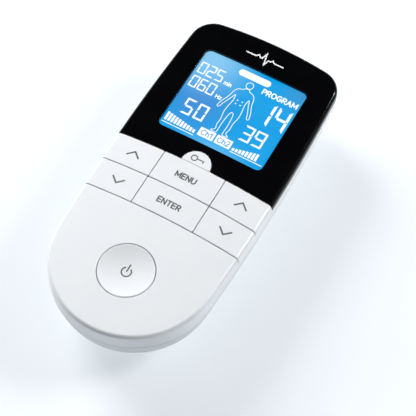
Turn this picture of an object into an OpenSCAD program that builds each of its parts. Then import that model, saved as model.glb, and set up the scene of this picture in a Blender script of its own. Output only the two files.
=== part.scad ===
// Two-channel TENS unit: a palm-sized nerve stimulator with a display, eight keys and a belt clip.
// Millimetres. +X is the user's right, +Y points at the display end, +Z comes out of the face.
// The origin is under the middle of the case, on the surface that the belt clip rests on.

/* [Case] */
// Greatest width of the case
case_w = 63; // [62:0.5:64]
// Length of the case
case_l = 132; // [131:0.5:134]
// Thickness of the case without its clip
case_t = 21; // [21:0.1:21.5]
// Height of the clip behind the case
clip_h = 8.5; // [8.4:0.1:8.7]
// Drop of the crowned face from its middle to its sides
crown = 1.2; // [1:0.1:1.3]
// Radius of the bulging long sides
side_r = 785; // [700:5:900]
// Radius of the arched display end
top_r = 211; // [180:1:260]
// Corner radius at the display end
corner_r = 9.2; // [9:0.1:9.6]
// Radius of the soft edge round the face
edge_r = 1.5; // [1.3:0.1:1.9]
// Wall of the front housing
front_wall = 2.0; // [1.8:0.1:2.2]
// Wall of the back housing
back_wall = 1.8; // [1.6:0.1:2]

/* [Keys] */
// Gap that shows between neighbouring keys
key_gap = 0.35; // [0.25:0.05:0.4]
// Travel of every key
key_travel = 0.25; // [0.15:0.05:0.25]
// Thickness of a key's cap
key_t = 1.6; // [1.4:0.1:1.8]
// Half the width of the middle keys
key_x = 12.3; // [11.5:0.1:13]
// Where the upper key row starts, on the centreline
row_y = 5.75; // [5:0.05:6]
// Height of a key row
row_h = 11.9; // [11.5:0.1:12]
// How far the row lines drop from the middle to the sides
row_sag = 1.0; // [0.5:0.1:1.2]
// Radius of the half-round lock key
lock_r = 5.6; // [5.2:0.1:5.8]
// Radius of the power button's hole
power_r = 10.25; // [9.8:0.05:10.4]
// Depth of the power button's dish
power_dish = 1.5; // [0.5:0.1:1.7]
// Place of the power button, from the middle of the case
power_y = -41.7; // [-42:0.1:-41]

/* [Display] */
// Width of the window
window_w = 42; // [41:0.5:42]
// Length of the window
window_l = 37.7; // [37:0.1:38]
// Place of the window's middle
window_y = 33.45; // [33:0.05:33.6]
// Corner radius of the window
window_r = 2.2; // [1:0.1:3]
// Thickness of the black display panel
panel_t = 1.8; // [1.6:0.1:2]

/* [Output sockets] */
// Radius of the bore that takes the lead's plug
jack_bore_r = 1.3; // [1.25:0.05:1.8]
// Depth of the bore
jack_bore_l = 12; // [10:0.5:12]
// Distance of each socket from the centreline
jack_x = 11; // [9:0.5:12]

/* [Battery bay] */
// Radius of one AAA cell
cell_r = 5.15; // [5:0.05:5.15]
// Length of one AAA cell with its nub
cell_l = 44.5; // [44:0.1:44.6]
// Distance between neighbouring cells
cell_pitch = 10.7; // [10.6:0.05:10.75]

/* [Belt clip] */
// Width of the clip
clip_w = 24; // [20:0.5:24]
// Thickness of the clip's arm
clip_arm_t = 1.6; // [1.4:0.1:1.6]

/* [Hidden] */
$fn = 48;

// Heights, from the clip's rest plane up.
back_z = clip_h;                 // flat back of the case
face_z = clip_h + case_t;        // crown of the face
parting_z = back_z + 12.9;       // where the two housings meet
rim_z = back_z + 16.4;           // top of the front housing's white rim
board_z = back_z + 14.25;        // underside of the circuit board
board_t = 1.2;
board_top = board_z + board_t;
deck_z = back_z + 16.4;          // underside of the key deck
deck_t = 1.2;
tuck_z = back_z + 9;             // where the back starts to tuck in
cover_top_z = back_z + 8;        // top of the battery cover's turned-up end
bay_top = back_z + 12.4;         // ceiling of the battery bay

// Widths of gaps and small fits.
fine_gap = 0.15;                 // between fixed parts that lie side by side
cut = 0.1;                       // overshoot of a cutting shape
far = 200;                       // larger than the whole case
tuck_in = 8;                     // how far the back draws in from its sides
tuck_draft = 0.5;                // draft of the straight part of the back's side
front_draft = 0.15;              // draft of the front's side

// Outline: a bottom arc, two side arcs, two corner arcs and a top arc, all tangent.
side_mid_y = 10.8;
side_c = case_w / 2 - side_r;    // x of the right side arc's centre
low_span = side_mid_y + case_l / 2;
low_r = (side_r ^ 2 - side_c ^ 2 - low_span ^ 2) / (2 * (side_r - low_span));
low_y = low_r - case_l / 2;
top_c = case_l / 2 - top_r;      // y of the top arc's centre
// The corner arc's centre lies where two circles round the other centres cross.
reach_side = side_r - corner_r;
reach_top = top_r - corner_r;
centre_dx = -side_c;
centre_dy = top_c - side_mid_y;
centre_gap = sqrt(centre_dx ^ 2 + centre_dy ^ 2);
along_gap = (reach_side ^ 2 - reach_top ^ 2 + centre_gap ^ 2) / (2 * centre_gap);
off_gap = sqrt(reach_side ^ 2 - along_gap ^ 2);
corner_x = side_c + (along_gap * centre_dx - off_gap * centre_dy) / centre_gap;
corner_y = side_mid_y + (along_gap * centre_dy + off_gap * centre_dx) / centre_gap;
low_angle = atan2(low_y - side_mid_y, -side_c);
side_angle = atan2(corner_y - side_mid_y, corner_x - side_c);
corner_angle = atan2(corner_y - top_c, corner_x);

function arc_points(c, r, from, to, steps) =
    [for (i = [0:steps - 1]) let (a = from + (to - from) * i / steps) c + r * [cos(a), sin(a)]];

// The right half of the outline, from the bottom's middle to the display end's middle.
function half_outline(inset) = concat(
    arc_points([0, low_y], low_r - inset, -90, low_angle, 14),
    arc_points([side_c, side_mid_y], side_r - inset, low_angle, side_angle, 5),
    arc_points([corner_x, corner_y], corner_r - inset, side_angle, corner_angle, 6),
    arc_points([0, top_c], top_r - inset, corner_angle, 90, 3),
    [[0, case_l / 2 - inset]]);

function outline(inset) = let (right = half_outline(inset), n = len(right))
    concat(right, [for (i = [n - 2:-1:1]) [-right[i].x, right[i].y]]);

function crown_drop(x) = crown * (2 * x / case_w) ^ 2;

// A ring is the outline at one inset. follow is 1 where its height follows the crowned face.
function ring(inset, z, follow = 0) = [for (p = outline(inset)) [p.x, p.y, z - follow * crown_drop(p.x)]];

// A closed solid through a list of rings, from the lowest to the highest.
module loft(rings) {
    n = len(rings[0]);
    m = len(rings);
    polyhedron(
        points = [for (r = rings) each r],
        faces = concat(
            [[for (i = [0:n - 1]) i]],
            [[for (i = [n - 1:-1:0]) (m - 1) * n + i]],
            [for (k = [0:m - 2], i = [0:n - 1]) let (j = (i + 1) % n)
                [k * n + i, (k + 1) * n + i, (k + 1) * n + j]],
            [for (k = [0:m - 2], i = [0:n - 1]) let (j = (i + 1) % n)
                [k * n + i, (k + 1) * n + j, k * n + j]]));
}

// Everything under the crowned face, lowered by drop.
module under_crown(drop) {
    strip = 6;
    half = 36;
    rotate([90, 0, 0])
        linear_extrude(height = far, center = true)
            polygon(concat([[half, 0], [-half, 0]],
                [for (x = [-half:strip:half]) [x, face_z - drop - crown_drop(x)]]));
}

// The case above the parting line, with its crowned face and soft edge.
module front_form() {
    intersection() {
        loft(concat(
            [ring(0, parting_z - 1)],
            [for (a = [0:30:60])
                ring(front_draft + edge_r * (1 - cos(a)), face_z - edge_r * (1 - sin(a)), 1)],
            [ring(front_draft + edge_r, face_z, 1), ring(front_draft + edge_r, face_z + 2)]));
        under_crown(0);
    }
}

// Upright prism of the outline drawn in by inset.
module inside(inset) {
    linear_extrude(far) polygon(outline(inset));
}

// The case's skin of thickness t: its sides and its face.
module front_skin(t) {
    difference() {
        front_form();
        intersection() {
            inside(t + front_draft);
            under_crown(t);
        }
    }
}

// The case below the parting line, with its walls drawn in by wall.
module back_form(wall = 0) {
    rise = tuck_z - back_z - wall;
    draw = tuck_in - (wall > 0 ? wall - 0.2 : 0);
    loft(concat(
        [for (a = [90:-18:0]) ring(tuck_draft + wall + draw * (1 - cos(a)), tuck_z - rise * sin(a))],
        [ring(wall, parting_z + (wall > 0 ? cut : 0))]));
}

module slab(z0, z1) {
    translate([-far / 2, -far / 2, z0]) cube([far, far, z1 - z0]);
}

// A box between two corners.
module block(a, b) {
    translate(a) cube(b - a);
}

module mirrored() {
    children();
    mirror([1, 0, 0]) children();
}

// A shell cut by many others is evaluated as one mesh.
module as_mesh() {
    resize([0, 0, 0]) children();
}

module rounded_square(w, l, r) {
    offset(r = r) square([w - 2 * r, l - 2 * r], center = true);
}

module frame_plate(w, l, r, border, t) {
    linear_extrude(t) difference() {
        rounded_square(w, l, r);
        rounded_square(w - 2 * border, l - 2 * border, max(r - border, 0.3));
    }
}

// Key rows. Row lines are flat arches: line 0 is above the upper row, line 2 below the lower.
function row_line(k, x) = row_y - row_h * k - row_sag * (2 * x / case_w) ^ 2;

function row_points(k, x0, x1, off) =
    let (steps = 8) [for (i = [0:steps]) let (x = x0 + (x1 - x0) * i / steps) [x, row_line(k, x) + off]];

module key_plan(k, x0, x1) {
    polygon(concat(row_points(k, x0, x1, -key_gap / 2), row_points(k + 1, x1, x0, key_gap / 2)));
}

module above_line(k, off) {
    polygon(concat(row_points(k, -40, 40, off), [[40, far], [-40, far]]));
}

module below_line(k, off) {
    polygon(concat(row_points(k, 40, -40, off), [[-40, -far], [40, -far]]));
}

module lock_plan(grow) {
    intersection() {
        translate([0, row_y]) circle(lock_r + grow);
        above_line(0, -grow + key_gap / 2);
    }
}

stem_drop = 0.4;                 // stems stand this far below their row's middle, as the rows sag
key_mid_y = [for (k = [0:1]) row_y - row_h * (k + 0.5) - stem_drop];
outer_key_x = 21.4;
lock_stem_y = 8.3;
stem_r = 1.6;
stem_hole_r = 1.95;
dome_h = 0.45;
stem_z = board_top + dome_h + key_travel + 0.05;
key_skirt_z = rim_z + key_travel + 0.05;

// Every place where a key presses the board.
press_points = concat(
    [for (y = key_mid_y, x = [-outer_key_x, 0, outer_key_x]) [x, y]],
    [[0, lock_stem_y], [0, power_y]]);

module key_stem(p) {
    translate([p.x, p.y, stem_z]) cylinder(h = face_z - key_t + 0.3 - stem_z, r = stem_r);
}

// A cap cut from the case's own skin, so that it carries the crown and the soft edge.
module key_cap() {
    intersection() {
        front_skin(key_t);
        slab(key_skirt_z, far);
        linear_extrude(far) children();
    }
}

module key(k, column) {
    span = column == 0 ? [-key_x + key_gap / 2, key_x - key_gap / 2]
         : column > 0 ? [key_x + key_gap / 2, 40] : [-40, -key_x - key_gap / 2];
    color("white") as_mesh() {
        key_cap() key_plan(k, span[0], span[1]);
        key_stem([column * outer_key_x, key_mid_y[k]]);
    }
}

module key_lock() {
    color("white") as_mesh() {
        key_cap() lock_plan(0);
        key_stem([0, lock_stem_y]);
    }
}

// A dished round button with a flange that holds it under the face.
module power_button() {
    r = power_r - key_gap;
    flange_z = face_z - front_wall - 1.05;
    dish = (r ^ 2 + power_dish ^ 2) / (2 * power_dish);
    color("white") translate([0, power_y, 0]) difference($fn = 96) {
        union() {
            intersection() {
                translate([0, 0, flange_z]) cylinder(h = 10, r = r);
                translate([0, -power_y, 0]) under_crown(0);
            }
            translate([0, 0, flange_z]) cylinder(h = 0.8, r = power_r + 1);
            translate([0, 0, stem_z]) cylinder(h = flange_z - stem_z + cut, r = 2);
        }
        translate([0, 0, face_z - power_dish + dish]) sphere(dish);
    }
}

// Screw places: two beside the sockets and two beside the battery bay.
boss_r = 3;
lip_in = 1.15;                   // inset of the lip that locates the front housing
lip_h = 0.9;
bosses = [[21.6, 58.8], [21.9, -30.3]];
pilot_r = 1.02;

module at_bosses() {
    for (p = bosses) mirrored() translate([p.x, p.y, 0]) children();
}

board_screw_points = [[25.3, -6.5], [14, 8.4]];

module at_board_screws() {
    for (p = board_screw_points) mirrored() translate([p.x, p.y, 0]) children();
}

socket_z = board_z - 3.45;
socket_hole_r = 3.35;

module socket_holes() {
    for (x = [-jack_x, jack_x])
        translate([x, case_l / 2 - 8, socket_z]) rotate([-90, 0, 0]) cylinder(h = 12, r = socket_hole_r);
}

deck_low = row_line(2, 0) - 2.3;
deck_high = 11.4;
deck_wall = 1.3;
inner_rim_in = 2.2;              // inset of the rim that stands inside the keys and the panel
inner_rim_t = 1.4;
inner_rim_z = deck_z + 1.6;
housing_low = parting_z + 0.12;  // underside of the front housing
board_post_r = 1.8;

module front_housing() {
    color("white") as_mesh() difference() {
        union() {
            // White rim all round, with an inner rim under the keys and the display panel.
            difference() {
                union() {
                    intersection() {
                        front_form();
                        slab(housing_low, rim_z);
                    }
                    intersection() {
                        inside(inner_rim_in);
                        slab(rim_z - 1, inner_rim_z);
                    }
                }
                inside(inner_rim_in + inner_rim_t);
            }
            // Face round the power button.
            intersection() {
                front_skin(front_wall);
                slab(rim_z - 1, far);
                linear_extrude(far) below_line(2, -key_gap / 2);
            }
            // Deck that guides the keys, with a wall down from the face.
            intersection() {
                inside(3);
                union() {
                    block([-40, deck_low, deck_z], [40, deck_high, deck_z + deck_t]);
                    block([-40, deck_low, deck_z], [40, deck_low + deck_wall, face_z - 1]);
                }
            }
            for (p = bosses, s = [-1, 1])
                translate([s * p.x, p.y, housing_low])
                    cylinder(h = (p.y > 0 ? deck_z + 1.4 : face_z - 1.8) - parting_z, r = boss_r);
            at_board_screws() translate([0, 0, board_top]) cylinder(h = deck_z - board_top + cut, r = board_post_r);
        }
        // Rebate for the back housing's lip.
        intersection() {
            inside(lip_in - 0.1);
            slab(0, parting_z + lip_h + 0.1);
        }
        for (p = press_points)
            translate([p.x, p.y, deck_z - 2]) cylinder(h = 3.5, r = stem_hole_r);
        translate([0, power_y, parting_z]) cylinder(h = far, r = power_r);
        at_bosses() translate([0, 0, parting_z - cut]) cylinder(h = 4.6, r = pilot_r);
        at_board_screws() translate([0, 0, board_top - cut]) cylinder(h = 2.1, r = 0.77);
        socket_holes();
    }
}

// Black glossy cover of the display end, cut round the window and the lock key.
module display_panel() {
    color("black") as_mesh() difference() {
        intersection() {
            front_skin(panel_t);
            slab(rim_z + 0.05, far);
            linear_extrude(far) difference() {
                above_line(0, key_gap / 2);
                lock_plan(key_gap);
            }
        }
        translate([0, window_y, 0]) linear_extrude(far)
            rounded_square(window_w, window_l, window_r);
        block([-pocket_w / 2, window_y - pocket_l / 2, 0], [pocket_w / 2, window_y + pocket_l / 2, lens_z]);
    }
}

glass_top = face_z - 1.9;
lcd_w = 46;
lcd_l = 41;
glass_t = 0.9;
ledge = 1;                       // by how much the lower glass plate is the longer one
tape_border = 0.7;
tape_t = 0.12;
lens_z = glass_top + tape_t + 0.03;
pocket_w = 49;                   // recess under the panel that takes the display and its frame
pocket_l = 43.6;

module display_window() {
    color([0.8, 0.9, 1, 0.3]) intersection() {
        translate([0, window_y, lens_z]) linear_extrude(5)
            rounded_square(window_w - 0.06, window_l - 0.06, window_r);
        under_crown(0);
    }
}

module window_tape() {
    color("dimgray") translate([0, window_y, glass_top + 0.01])
        frame_plate(lcd_w, lcd_l, 1, tape_border, tape_t);
}

// Two glass plates; the lower one has a contact ledge at both ends.
module lcd_glass() {
    color("lightskyblue") {
        translate([0, window_y, glass_top - glass_t / 2]) cube([lcd_w, lcd_l - ledge, glass_t], center = true);
        translate([0, window_y, glass_top - 1.5 * glass_t]) cube([lcd_w, lcd_l, glass_t], center = true);
    }
}

light_z = board_top + 0.05;
light_t = glass_top - 2 * glass_t - 0.05 - light_z;

module lcd_backlight() {
    color("white") translate([0, window_y, light_z]) linear_extrude(light_t) {
        square([lcd_w - 3, lcd_l - 5.4], center = true);
        translate([lcd_w / 2 - 1.5, 0]) square([1.2, 12], center = true);
    }
}

module zebra_strips() {
    color("gray") for (s = [-1, 1])
        translate([0, window_y + s * (lcd_l / 2 - 1.3), light_z + light_t / 2])
            cube([lcd_w - 4, 1.8, light_t], center = true);
}

module lcd_frame() {
    color("gainsboro") translate([0, window_y, light_z])
        frame_plate(lcd_w + 2.4, lcd_l + 2.4, 1, 1.1, glass_top - light_z - 0.2);
}

module main_board() {
    color("darkgreen") difference() {
        translate([0, 0, board_z]) linear_extrude(board_t) polygon(outline(4.4));
        at_bosses() translate([0, 0, board_z - cut]) cylinder(h = board_t + 1, r = boss_r + 0.4);
        at_board_screws() translate([0, 0, board_z - cut]) cylinder(h = board_t + 1, r = 0.9);
    }
}

module dome_switches() {
    color("silver") for (p = press_points)
        translate([p.x, p.y, board_top]) cylinder(h = dome_h, r1 = 2.6, r2 = 1.3);
}

// Flat package with leads on four sides, under the board.
module controller_chip() {
    body = 12;
    leads = 11;
    color("dimgray") translate([0, 40, board_z - 1.5]) {
        translate([-body / 2, -body / 2, 0]) cube([body, body, 1.4]);
        for (side = [0:90:270], i = [0:leads - 1]) rotate(side)
            translate([body / 2 - cut, (i - (leads - 1) / 2) - 0.2, 0.6]) cube([1.3, 0.4, 0.9]);
    }
}

module crystal() {
    color("silver") translate([-14, 46, board_z - 3.4]) linear_extrude(3.4) {
        square([6, 3.6], center = true);
        for (s = [-1, 1]) translate([3 * s, 0]) circle(1.8);
    }
}

// Small resistors and capacitors in two rows under the board.
module chip_parts() {
    color("tan") for (i = [0:6]) {
        translate([-9 + 3 * i, 29, board_z - 0.7]) cube([1.6, 0.9, 0.7]);
        translate([-9 + 3 * i, 12 + (i % 2) * 2, board_z - 0.7]) cube([0.9, 1.6, 0.7]);
    }
}

transformer_points = [[-13, 20], [13, 20]];
transformer_w = 11;
transformer_l = 9;

module transformer_cores() {
    h = 8.5;
    color("dimgray") for (p = transformer_points)
        translate([p.x, p.y, board_z - h - 0.9]) difference() {
            translate([-transformer_w / 2, -transformer_l / 2, 0]) cube([transformer_w, transformer_l, h]);
            for (s = [-1, 1])
                translate([s * 3.3 - 1.4, -far / 2, 1.6]) cube([2.8, far, h - 3.2]);
        }
}

// Wound bobbins round the middle leg of each core, standing on the board's pins.
module transformer_coils() {
    h = 8.5;
    color("goldenrod") for (p = transformer_points)
        translate([p.x, p.y, board_z - h - 0.9]) {
            difference() {
                translate([-4.5, -5.6, 1.8]) cube([9, 11.2, h - 3.6]);
                translate([-2, -4.65, 1]) cube([4, 9.3, h]);
            }
            for (s = [-1, 1], i = [-1:1])
                translate([3 * i - 0.3, s * 5.3 - 0.25, h - 2]) cube([0.6, 0.5, 2.9]);
        }
}

module capacitors() {
    color("navy") for (p = [[-22, 34], [22, 34], [22, 43]])
        translate([p.x, p.y, board_z - 9]) cylinder(h = 9, r = 3.15);
}

// Plug socket: a square body under the board with a round nose in the end wall.
module output_socket(x) {
    nose_y = case_l / 2 - 1;
    body_y = case_l / 2 - 4.6;
    color("dimgray") difference() {
        union() {
            block([x - 4, body_y - 11.4, socket_z - 3.2], [x + 4, body_y, socket_z + 3.2]);
            translate([x, body_y - cut, socket_z]) rotate([-90, 0, 0])
                cylinder(h = nose_y - body_y + cut, r = 3.1);
        }
        translate([x, nose_y - jack_bore_l, socket_z]) rotate([-90, 0, 0])
            cylinder(h = jack_bore_l + 1, r = jack_bore_r);
    }
}

// Battery bay.
bay_low = -47.6;
bay_high = 2.6;
bay_wall = 1.2;
bay_x = 1.5 * cell_pitch + 0.15;
slot_x = bay_x + 1.45;           // half the width of the opening for the cover
slot_y = bay_high + 2.55;
bay_out = slot_x + 1;            // half the width over the bay's side walls
cell_z = back_z + 1.9 + cell_r;
plate_t = 0.3;
plate_w = 8.4;
screw_seat_z = back_z + 4;

module back_housing() {
    color("white") as_mesh() difference() {
        union() {
            difference() {
                back_form(0);
                back_form(back_wall);
                // The opening that the battery cover closes.
                block([-slot_x, -far, 0], [slot_x, slot_y, cover_top_z + fine_gap]);
            }
            // Lip that locates the front housing.
            intersection() {
                difference() {
                    inside(lip_in);
                    inside(back_wall + 0.2);
                }
                slab(parting_z - 2, parting_z + lip_h);
            }
            // Battery bay: side walls, ceiling and two end walls.
            intersection() {
                back_form(back_wall / 2);
                mirrored() block([slot_x, -far, 0], [bay_out, bay_high + bay_wall, bay_top]);
            }
            difference() {
                intersection() {
                    back_form(back_wall - 0.05);
                    block([-bay_out + cut, -far, 0], [bay_out - cut, bay_high + bay_wall, bay_top + 1.1]);
                }
                block([-bay_x, -far, 0], [bay_x, far, bay_top]);
            }
            for (y = [bay_low - bay_wall, bay_high])
                block([-bay_x - 1, y, back_z + 2.9], [bay_x + 1, y + bay_wall, bay_top + 0.5]);
            // Screw bosses.
            intersection() {
                back_form(0.5);
                at_bosses() cylinder(h = parting_z - 0.1, r = boss_r + 0.2);
            }
            clip_rails();
        }
        at_bosses() {
            translate([0, 0, -cut]) cylinder(h = screw_seat_z + cut, r = 2.5);
            cylinder(h = far, r = 1.25);
        }
        socket_holes();
    }
}

rail_low = 8;
rail_high = 26;
lip_z = 6.1;

// Two L-shaped rails and a stop bar that hold the clip's base.
module clip_rails() {
    mirrored() {
        block([clip_w / 2 + 0.3, rail_low - 1.2, lip_z], [clip_w / 2 + 1.7, rail_high, back_z + 0.5]);
        block([clip_w / 2 - 1, rail_low - 1.2, lip_z], [clip_w / 2 + 1.7, rail_high, lip_z + 0.7]);
    }
    block([-clip_w / 2 - 1, rail_low - 1.2, lip_z + 0.8], [clip_w / 2 + 1, rail_low + 0.7, back_z + 0.5]);
}

// One springy moulding: a base in the rails, a round bend and a long arm with a gripping nub.
module belt_clip() {
    base_z = lip_z + 0.8;
    bend_y = 30;
    arm_tip = -22;
    outer = (clip_h - fine_gap) / 2;
    inner = (base_z - clip_arm_t) / 2;
    color("white") translate([-clip_w / 2, 0, 0]) rotate([90, 0, 90]) linear_extrude(clip_w) {
        difference() {
            union() {
                translate([rail_low + 0.9, 0]) square([bend_y - rail_low - 0.9, 2 * outer]);
                translate([bend_y, outer]) circle(outer);
            }
            translate([-far, clip_arm_t]) square([bend_y + far, 2 * inner]);
            translate([bend_y, clip_arm_t + inner]) circle(inner);
        }
        polygon([[arm_tip, 0.5], [arm_tip + 0.8, 0], [bend_y, 0], [bend_y, clip_arm_t],
                 [arm_tip + 7, clip_arm_t], [arm_tip + 5, clip_arm_t + 1.4],
                 [arm_tip + 3.6, clip_arm_t + 1.4], [arm_tip, 1.2]]);
    }
}

cover_gap = fine_gap;
hook_x = cell_pitch / 2;

// Sliding cover that turns up round the end of the case, with two hooks at its inner edge.
module battery_cover() {
    t = 1.6;
    color("white") as_mesh() {
        intersection() {
            difference() {
                back_form(0);
                back_form(t);
            }
            block([-slot_x + cover_gap, -far, 0], [slot_x - cover_gap, slot_y - cover_gap, cover_top_z]);
        }
        for (x = [-hook_x, hook_x]) {
            block([x - 1.5, 0.5, back_z + t - cut], [x + 1.5, slot_y - 0.3, back_z + 2.7]);
            block([x - 1.5, 1, back_z + back_wall + 0.1], [x + 1.5, slot_y + 1.8, back_z + 2.7]);
        }
        // Ridges for the thumb.
        for (i = [0:4])
            block([-7, -44 + 2 * i, back_z - 0.3], [7, -43.2 + 2 * i, back_z + cut]);
    }
}

// dir is 1 where the cell's nub points at the display end.
module cell(i) {
    dir = i % 2 == 0 ? 1 : -1;
    nub = 1;
    near_plate = dir > 0 ? bay_high - plate_t - 0.1 : bay_low + plate_t + 0.1;
    color(i == 1 ? "silver" : "darkgray")
        translate([(i - 1) * cell_pitch, near_plate, cell_z]) rotate([dir * 90, 0, 0]) {
            cylinder(h = nub + cut, r = 1.9);
            translate([0, 0, nub]) cylinder(h = cell_l - nub, r = cell_r);
        }
}

// Points along a coil that widens towards its base plate.
spring_turns = 3;
spring_steps = 10;
spring_wire = 0.28;
spring_l = bay_high - bay_low - cell_l - 2 * plate_t - 0.3;

function spring_point(i) =
    let (s = i / (spring_turns * spring_steps), a = 360 * i / spring_steps, r = 3.4 - 1.2 * s)
        [r * cos(a), r * sin(a), spring_wire + s * (spring_l - 2 * spring_wire)];

// A round wire swept through a list of points.
module wire(points, r, sides) {
    n = len(points);
    rings = [for (i = [0:n - 1]) let (
        t = points[min(i + 1, n - 1)] - points[max(i - 1, 0)],
        u = cross([0, 0, 1], t) / norm(cross([0, 0, 1], t)),
        v = cross(t, u) / norm(cross(t, u)))
            [for (k = [0:sides - 1]) points[i] + r * (cos(360 * k / sides) * u + sin(360 * k / sides) * v)]];
    loft(rings);
}

module battery_springs() {
    color("silver") for (i = [0:2]) {
        dir = i % 2 == 0 ? 1 : -1;
        y = dir > 0 ? bay_low + plate_t : bay_high - plate_t;
        translate([(i - 1) * cell_pitch, y, cell_z]) rotate([-dir * 90, 0, 0])
            wire([for (k = [0:spring_turns * spring_steps]) spring_point(k)], spring_wire, 6);
    }
}

// Plates at both ends of the bay.
module contact_plates() {
    color("silver") for (y = [bay_low, bay_high - plate_t], i = [0:2])
        translate([(i - 1) * cell_pitch - plate_w / 2, y, cell_z - plate_w / 2])
            cube([plate_w, plate_t, plate_w]);
}

module screw(head_r, head_h, shank_r, shank_l) {
    difference() {
        cylinder(h = head_h, r = head_r);
        for (a = [0, 90]) rotate(a)
            translate([-head_r * 0.6, -head_r * 0.13, -cut]) cube([head_r * 1.2, head_r * 0.26, head_h * 0.5]);
    }
    translate([0, 0, head_h - cut]) cylinder(h = shank_l + cut, r = shank_r);
}

module housing_screws() {
    head_h = 1.6;
    color("silver") at_bosses() translate([0, 0, screw_seat_z - head_h]) screw(2.3, head_h, 1, 12.2);
}

module board_screws() {
    color("silver") at_board_screws() translate([0, 0, board_z - 1.05]) screw(1.5, 1, 0.75, 2.9);
}

front_housing();
back_housing();
display_panel();
display_window();
window_tape();
key(0, 0);  // key_menu
key(1, 0);  // key_enter
key(0, -1);  // key_ch1_up
key(1, -1);  // key_ch1_down
key(0, 1);  // key_ch2_up
key(1, 1);  // key_ch2_down
key_lock();
power_button();
lcd_glass();
lcd_backlight();
lcd_frame();
zebra_strips();
main_board();
dome_switches();
controller_chip();
crystal();
chip_parts();
transformer_cores();
transformer_coils();
capacitors();
output_socket(-jack_x);  // output_socket_ch1
output_socket(jack_x);  // output_socket_ch2
battery_springs();
contact_plates();
cell(0);  // cell_1
cell(1);  // cell_2
cell(2);  // cell_3
battery_cover();
belt_clip();
housing_screws();
board_screws();
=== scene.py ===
"""Looks of a palm-sized two-channel TENS unit: shells, keys, display, battery bay and belt clip."""
import math

import bpy
import numpy as np
from mathutils import Matrix, Vector
from mathutils.geometry import delaunay_2d_cdt


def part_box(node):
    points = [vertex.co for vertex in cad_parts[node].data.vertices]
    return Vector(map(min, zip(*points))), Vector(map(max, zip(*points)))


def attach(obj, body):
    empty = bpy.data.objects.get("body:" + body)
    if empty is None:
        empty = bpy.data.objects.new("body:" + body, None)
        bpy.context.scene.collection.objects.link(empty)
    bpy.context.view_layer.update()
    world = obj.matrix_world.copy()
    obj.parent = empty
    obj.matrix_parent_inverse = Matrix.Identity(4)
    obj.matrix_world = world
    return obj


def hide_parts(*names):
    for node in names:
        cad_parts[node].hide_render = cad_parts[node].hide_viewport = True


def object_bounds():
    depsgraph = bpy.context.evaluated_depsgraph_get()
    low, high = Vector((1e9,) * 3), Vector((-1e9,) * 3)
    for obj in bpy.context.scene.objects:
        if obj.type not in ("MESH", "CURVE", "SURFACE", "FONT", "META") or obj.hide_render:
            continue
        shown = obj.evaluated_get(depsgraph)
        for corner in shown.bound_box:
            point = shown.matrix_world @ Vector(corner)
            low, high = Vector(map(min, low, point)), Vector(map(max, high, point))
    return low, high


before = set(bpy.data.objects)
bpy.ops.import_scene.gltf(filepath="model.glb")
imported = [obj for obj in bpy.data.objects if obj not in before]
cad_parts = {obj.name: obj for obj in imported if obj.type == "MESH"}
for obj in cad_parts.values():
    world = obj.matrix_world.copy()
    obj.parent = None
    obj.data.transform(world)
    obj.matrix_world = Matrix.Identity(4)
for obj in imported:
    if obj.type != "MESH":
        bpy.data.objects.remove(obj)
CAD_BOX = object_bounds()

# ------------------------------------------------------------------ dimensions, in millimetres

MM = 0.001


def corners(*names):
    """Lowest and highest corner of some CAD nodes together, in millimetres."""
    lows, highs = zip(*[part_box(name) for name in names])
    return np.min(lows, axis=0) / MM, np.max(highs, axis=0) / MM


def unit(v):
    """The vector, or each row of vectors, at length 1."""
    return v / np.linalg.norm(v, axis=-1, keepdims=True)


def around(angles):
    """Points of the unit circle at these angles, in radians."""
    return np.column_stack([np.cos(angles), np.sin(angles)])


PRINT_H = 0.03                     # thickness of printed ink
BACK_LOW, BACK_HIGH = corners("back_housing")
CASE_L = BACK_HIGH[1] - BACK_LOW[1]
CASE_W = 63.0
FACE_Z = CAD_BOX[1].z / MM - PRINT_H
BACK_Z = 8.5                       # outside of the flat back; the belt clip lies below it
CROWN = 1.2                        # drop of the face from its middle to its sides
EDGE_R = 1.5                       # soft edge round the face
FRONT_DRAFT = 0.15                 # how far the front's sides lean in above the parting
PARTING_Z = BACK_HIGH[2] - 0.9     # the back housing's lip stands 0.9 above the parting
SEAM = 0.12                        # open line between the two housings
RIM_Z = PARTING_Z + 3.5            # top of the white rim under keys and panel
SIDE_R, SIDE_MID = 785.0, 10.8     # long sides: radius, and where the case is widest
TOP_R, CORNER_R = 211.0, 9.2       # display end and its two corners
TUCK_IN, TUCK_RISE, TUCK_DRAFT = 7.7, 9.0, 0.8

KEY_GAP = 0.35
KEY_T = 1.6
KEY_X = 12.3                       # half the width of the middle keys
STEM_X = 21.4                      # stems of the outer keys
STEM_R = 1.6
ROW_Y, ROW_H, ROW_SAG = 5.75, 11.9, 1.0
LOCK_R, LOCK_STEM_Y = 5.6, 8.3
DISH = 1.5                         # depth of the power button's dish
BUTTON_R = 9.9

SKIN_T, BACK_T, PANEL_T = 2.0, 1.8, 1.2
SOFT = 0.22                        # rounding along the shells' and keys' edges
CORNER_SOFT = 0.3                  # rounding of their corners in plan
STEP = 0.5                         # spacing of points along an edge
GRID = 3.0                         # spacing of points on open faces

# ------------------------------------------------------------------ outline of the case

SIDE_C = CASE_W / 2 - SIDE_R
LOW_SPAN = SIDE_MID + CASE_L / 2
LOW_R = (SIDE_R**2 - SIDE_C**2 - LOW_SPAN**2) / (2 * (SIDE_R - LOW_SPAN))
LOW_Y = LOW_R - CASE_L / 2
TOP_C = CASE_L / 2 - TOP_R


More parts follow.
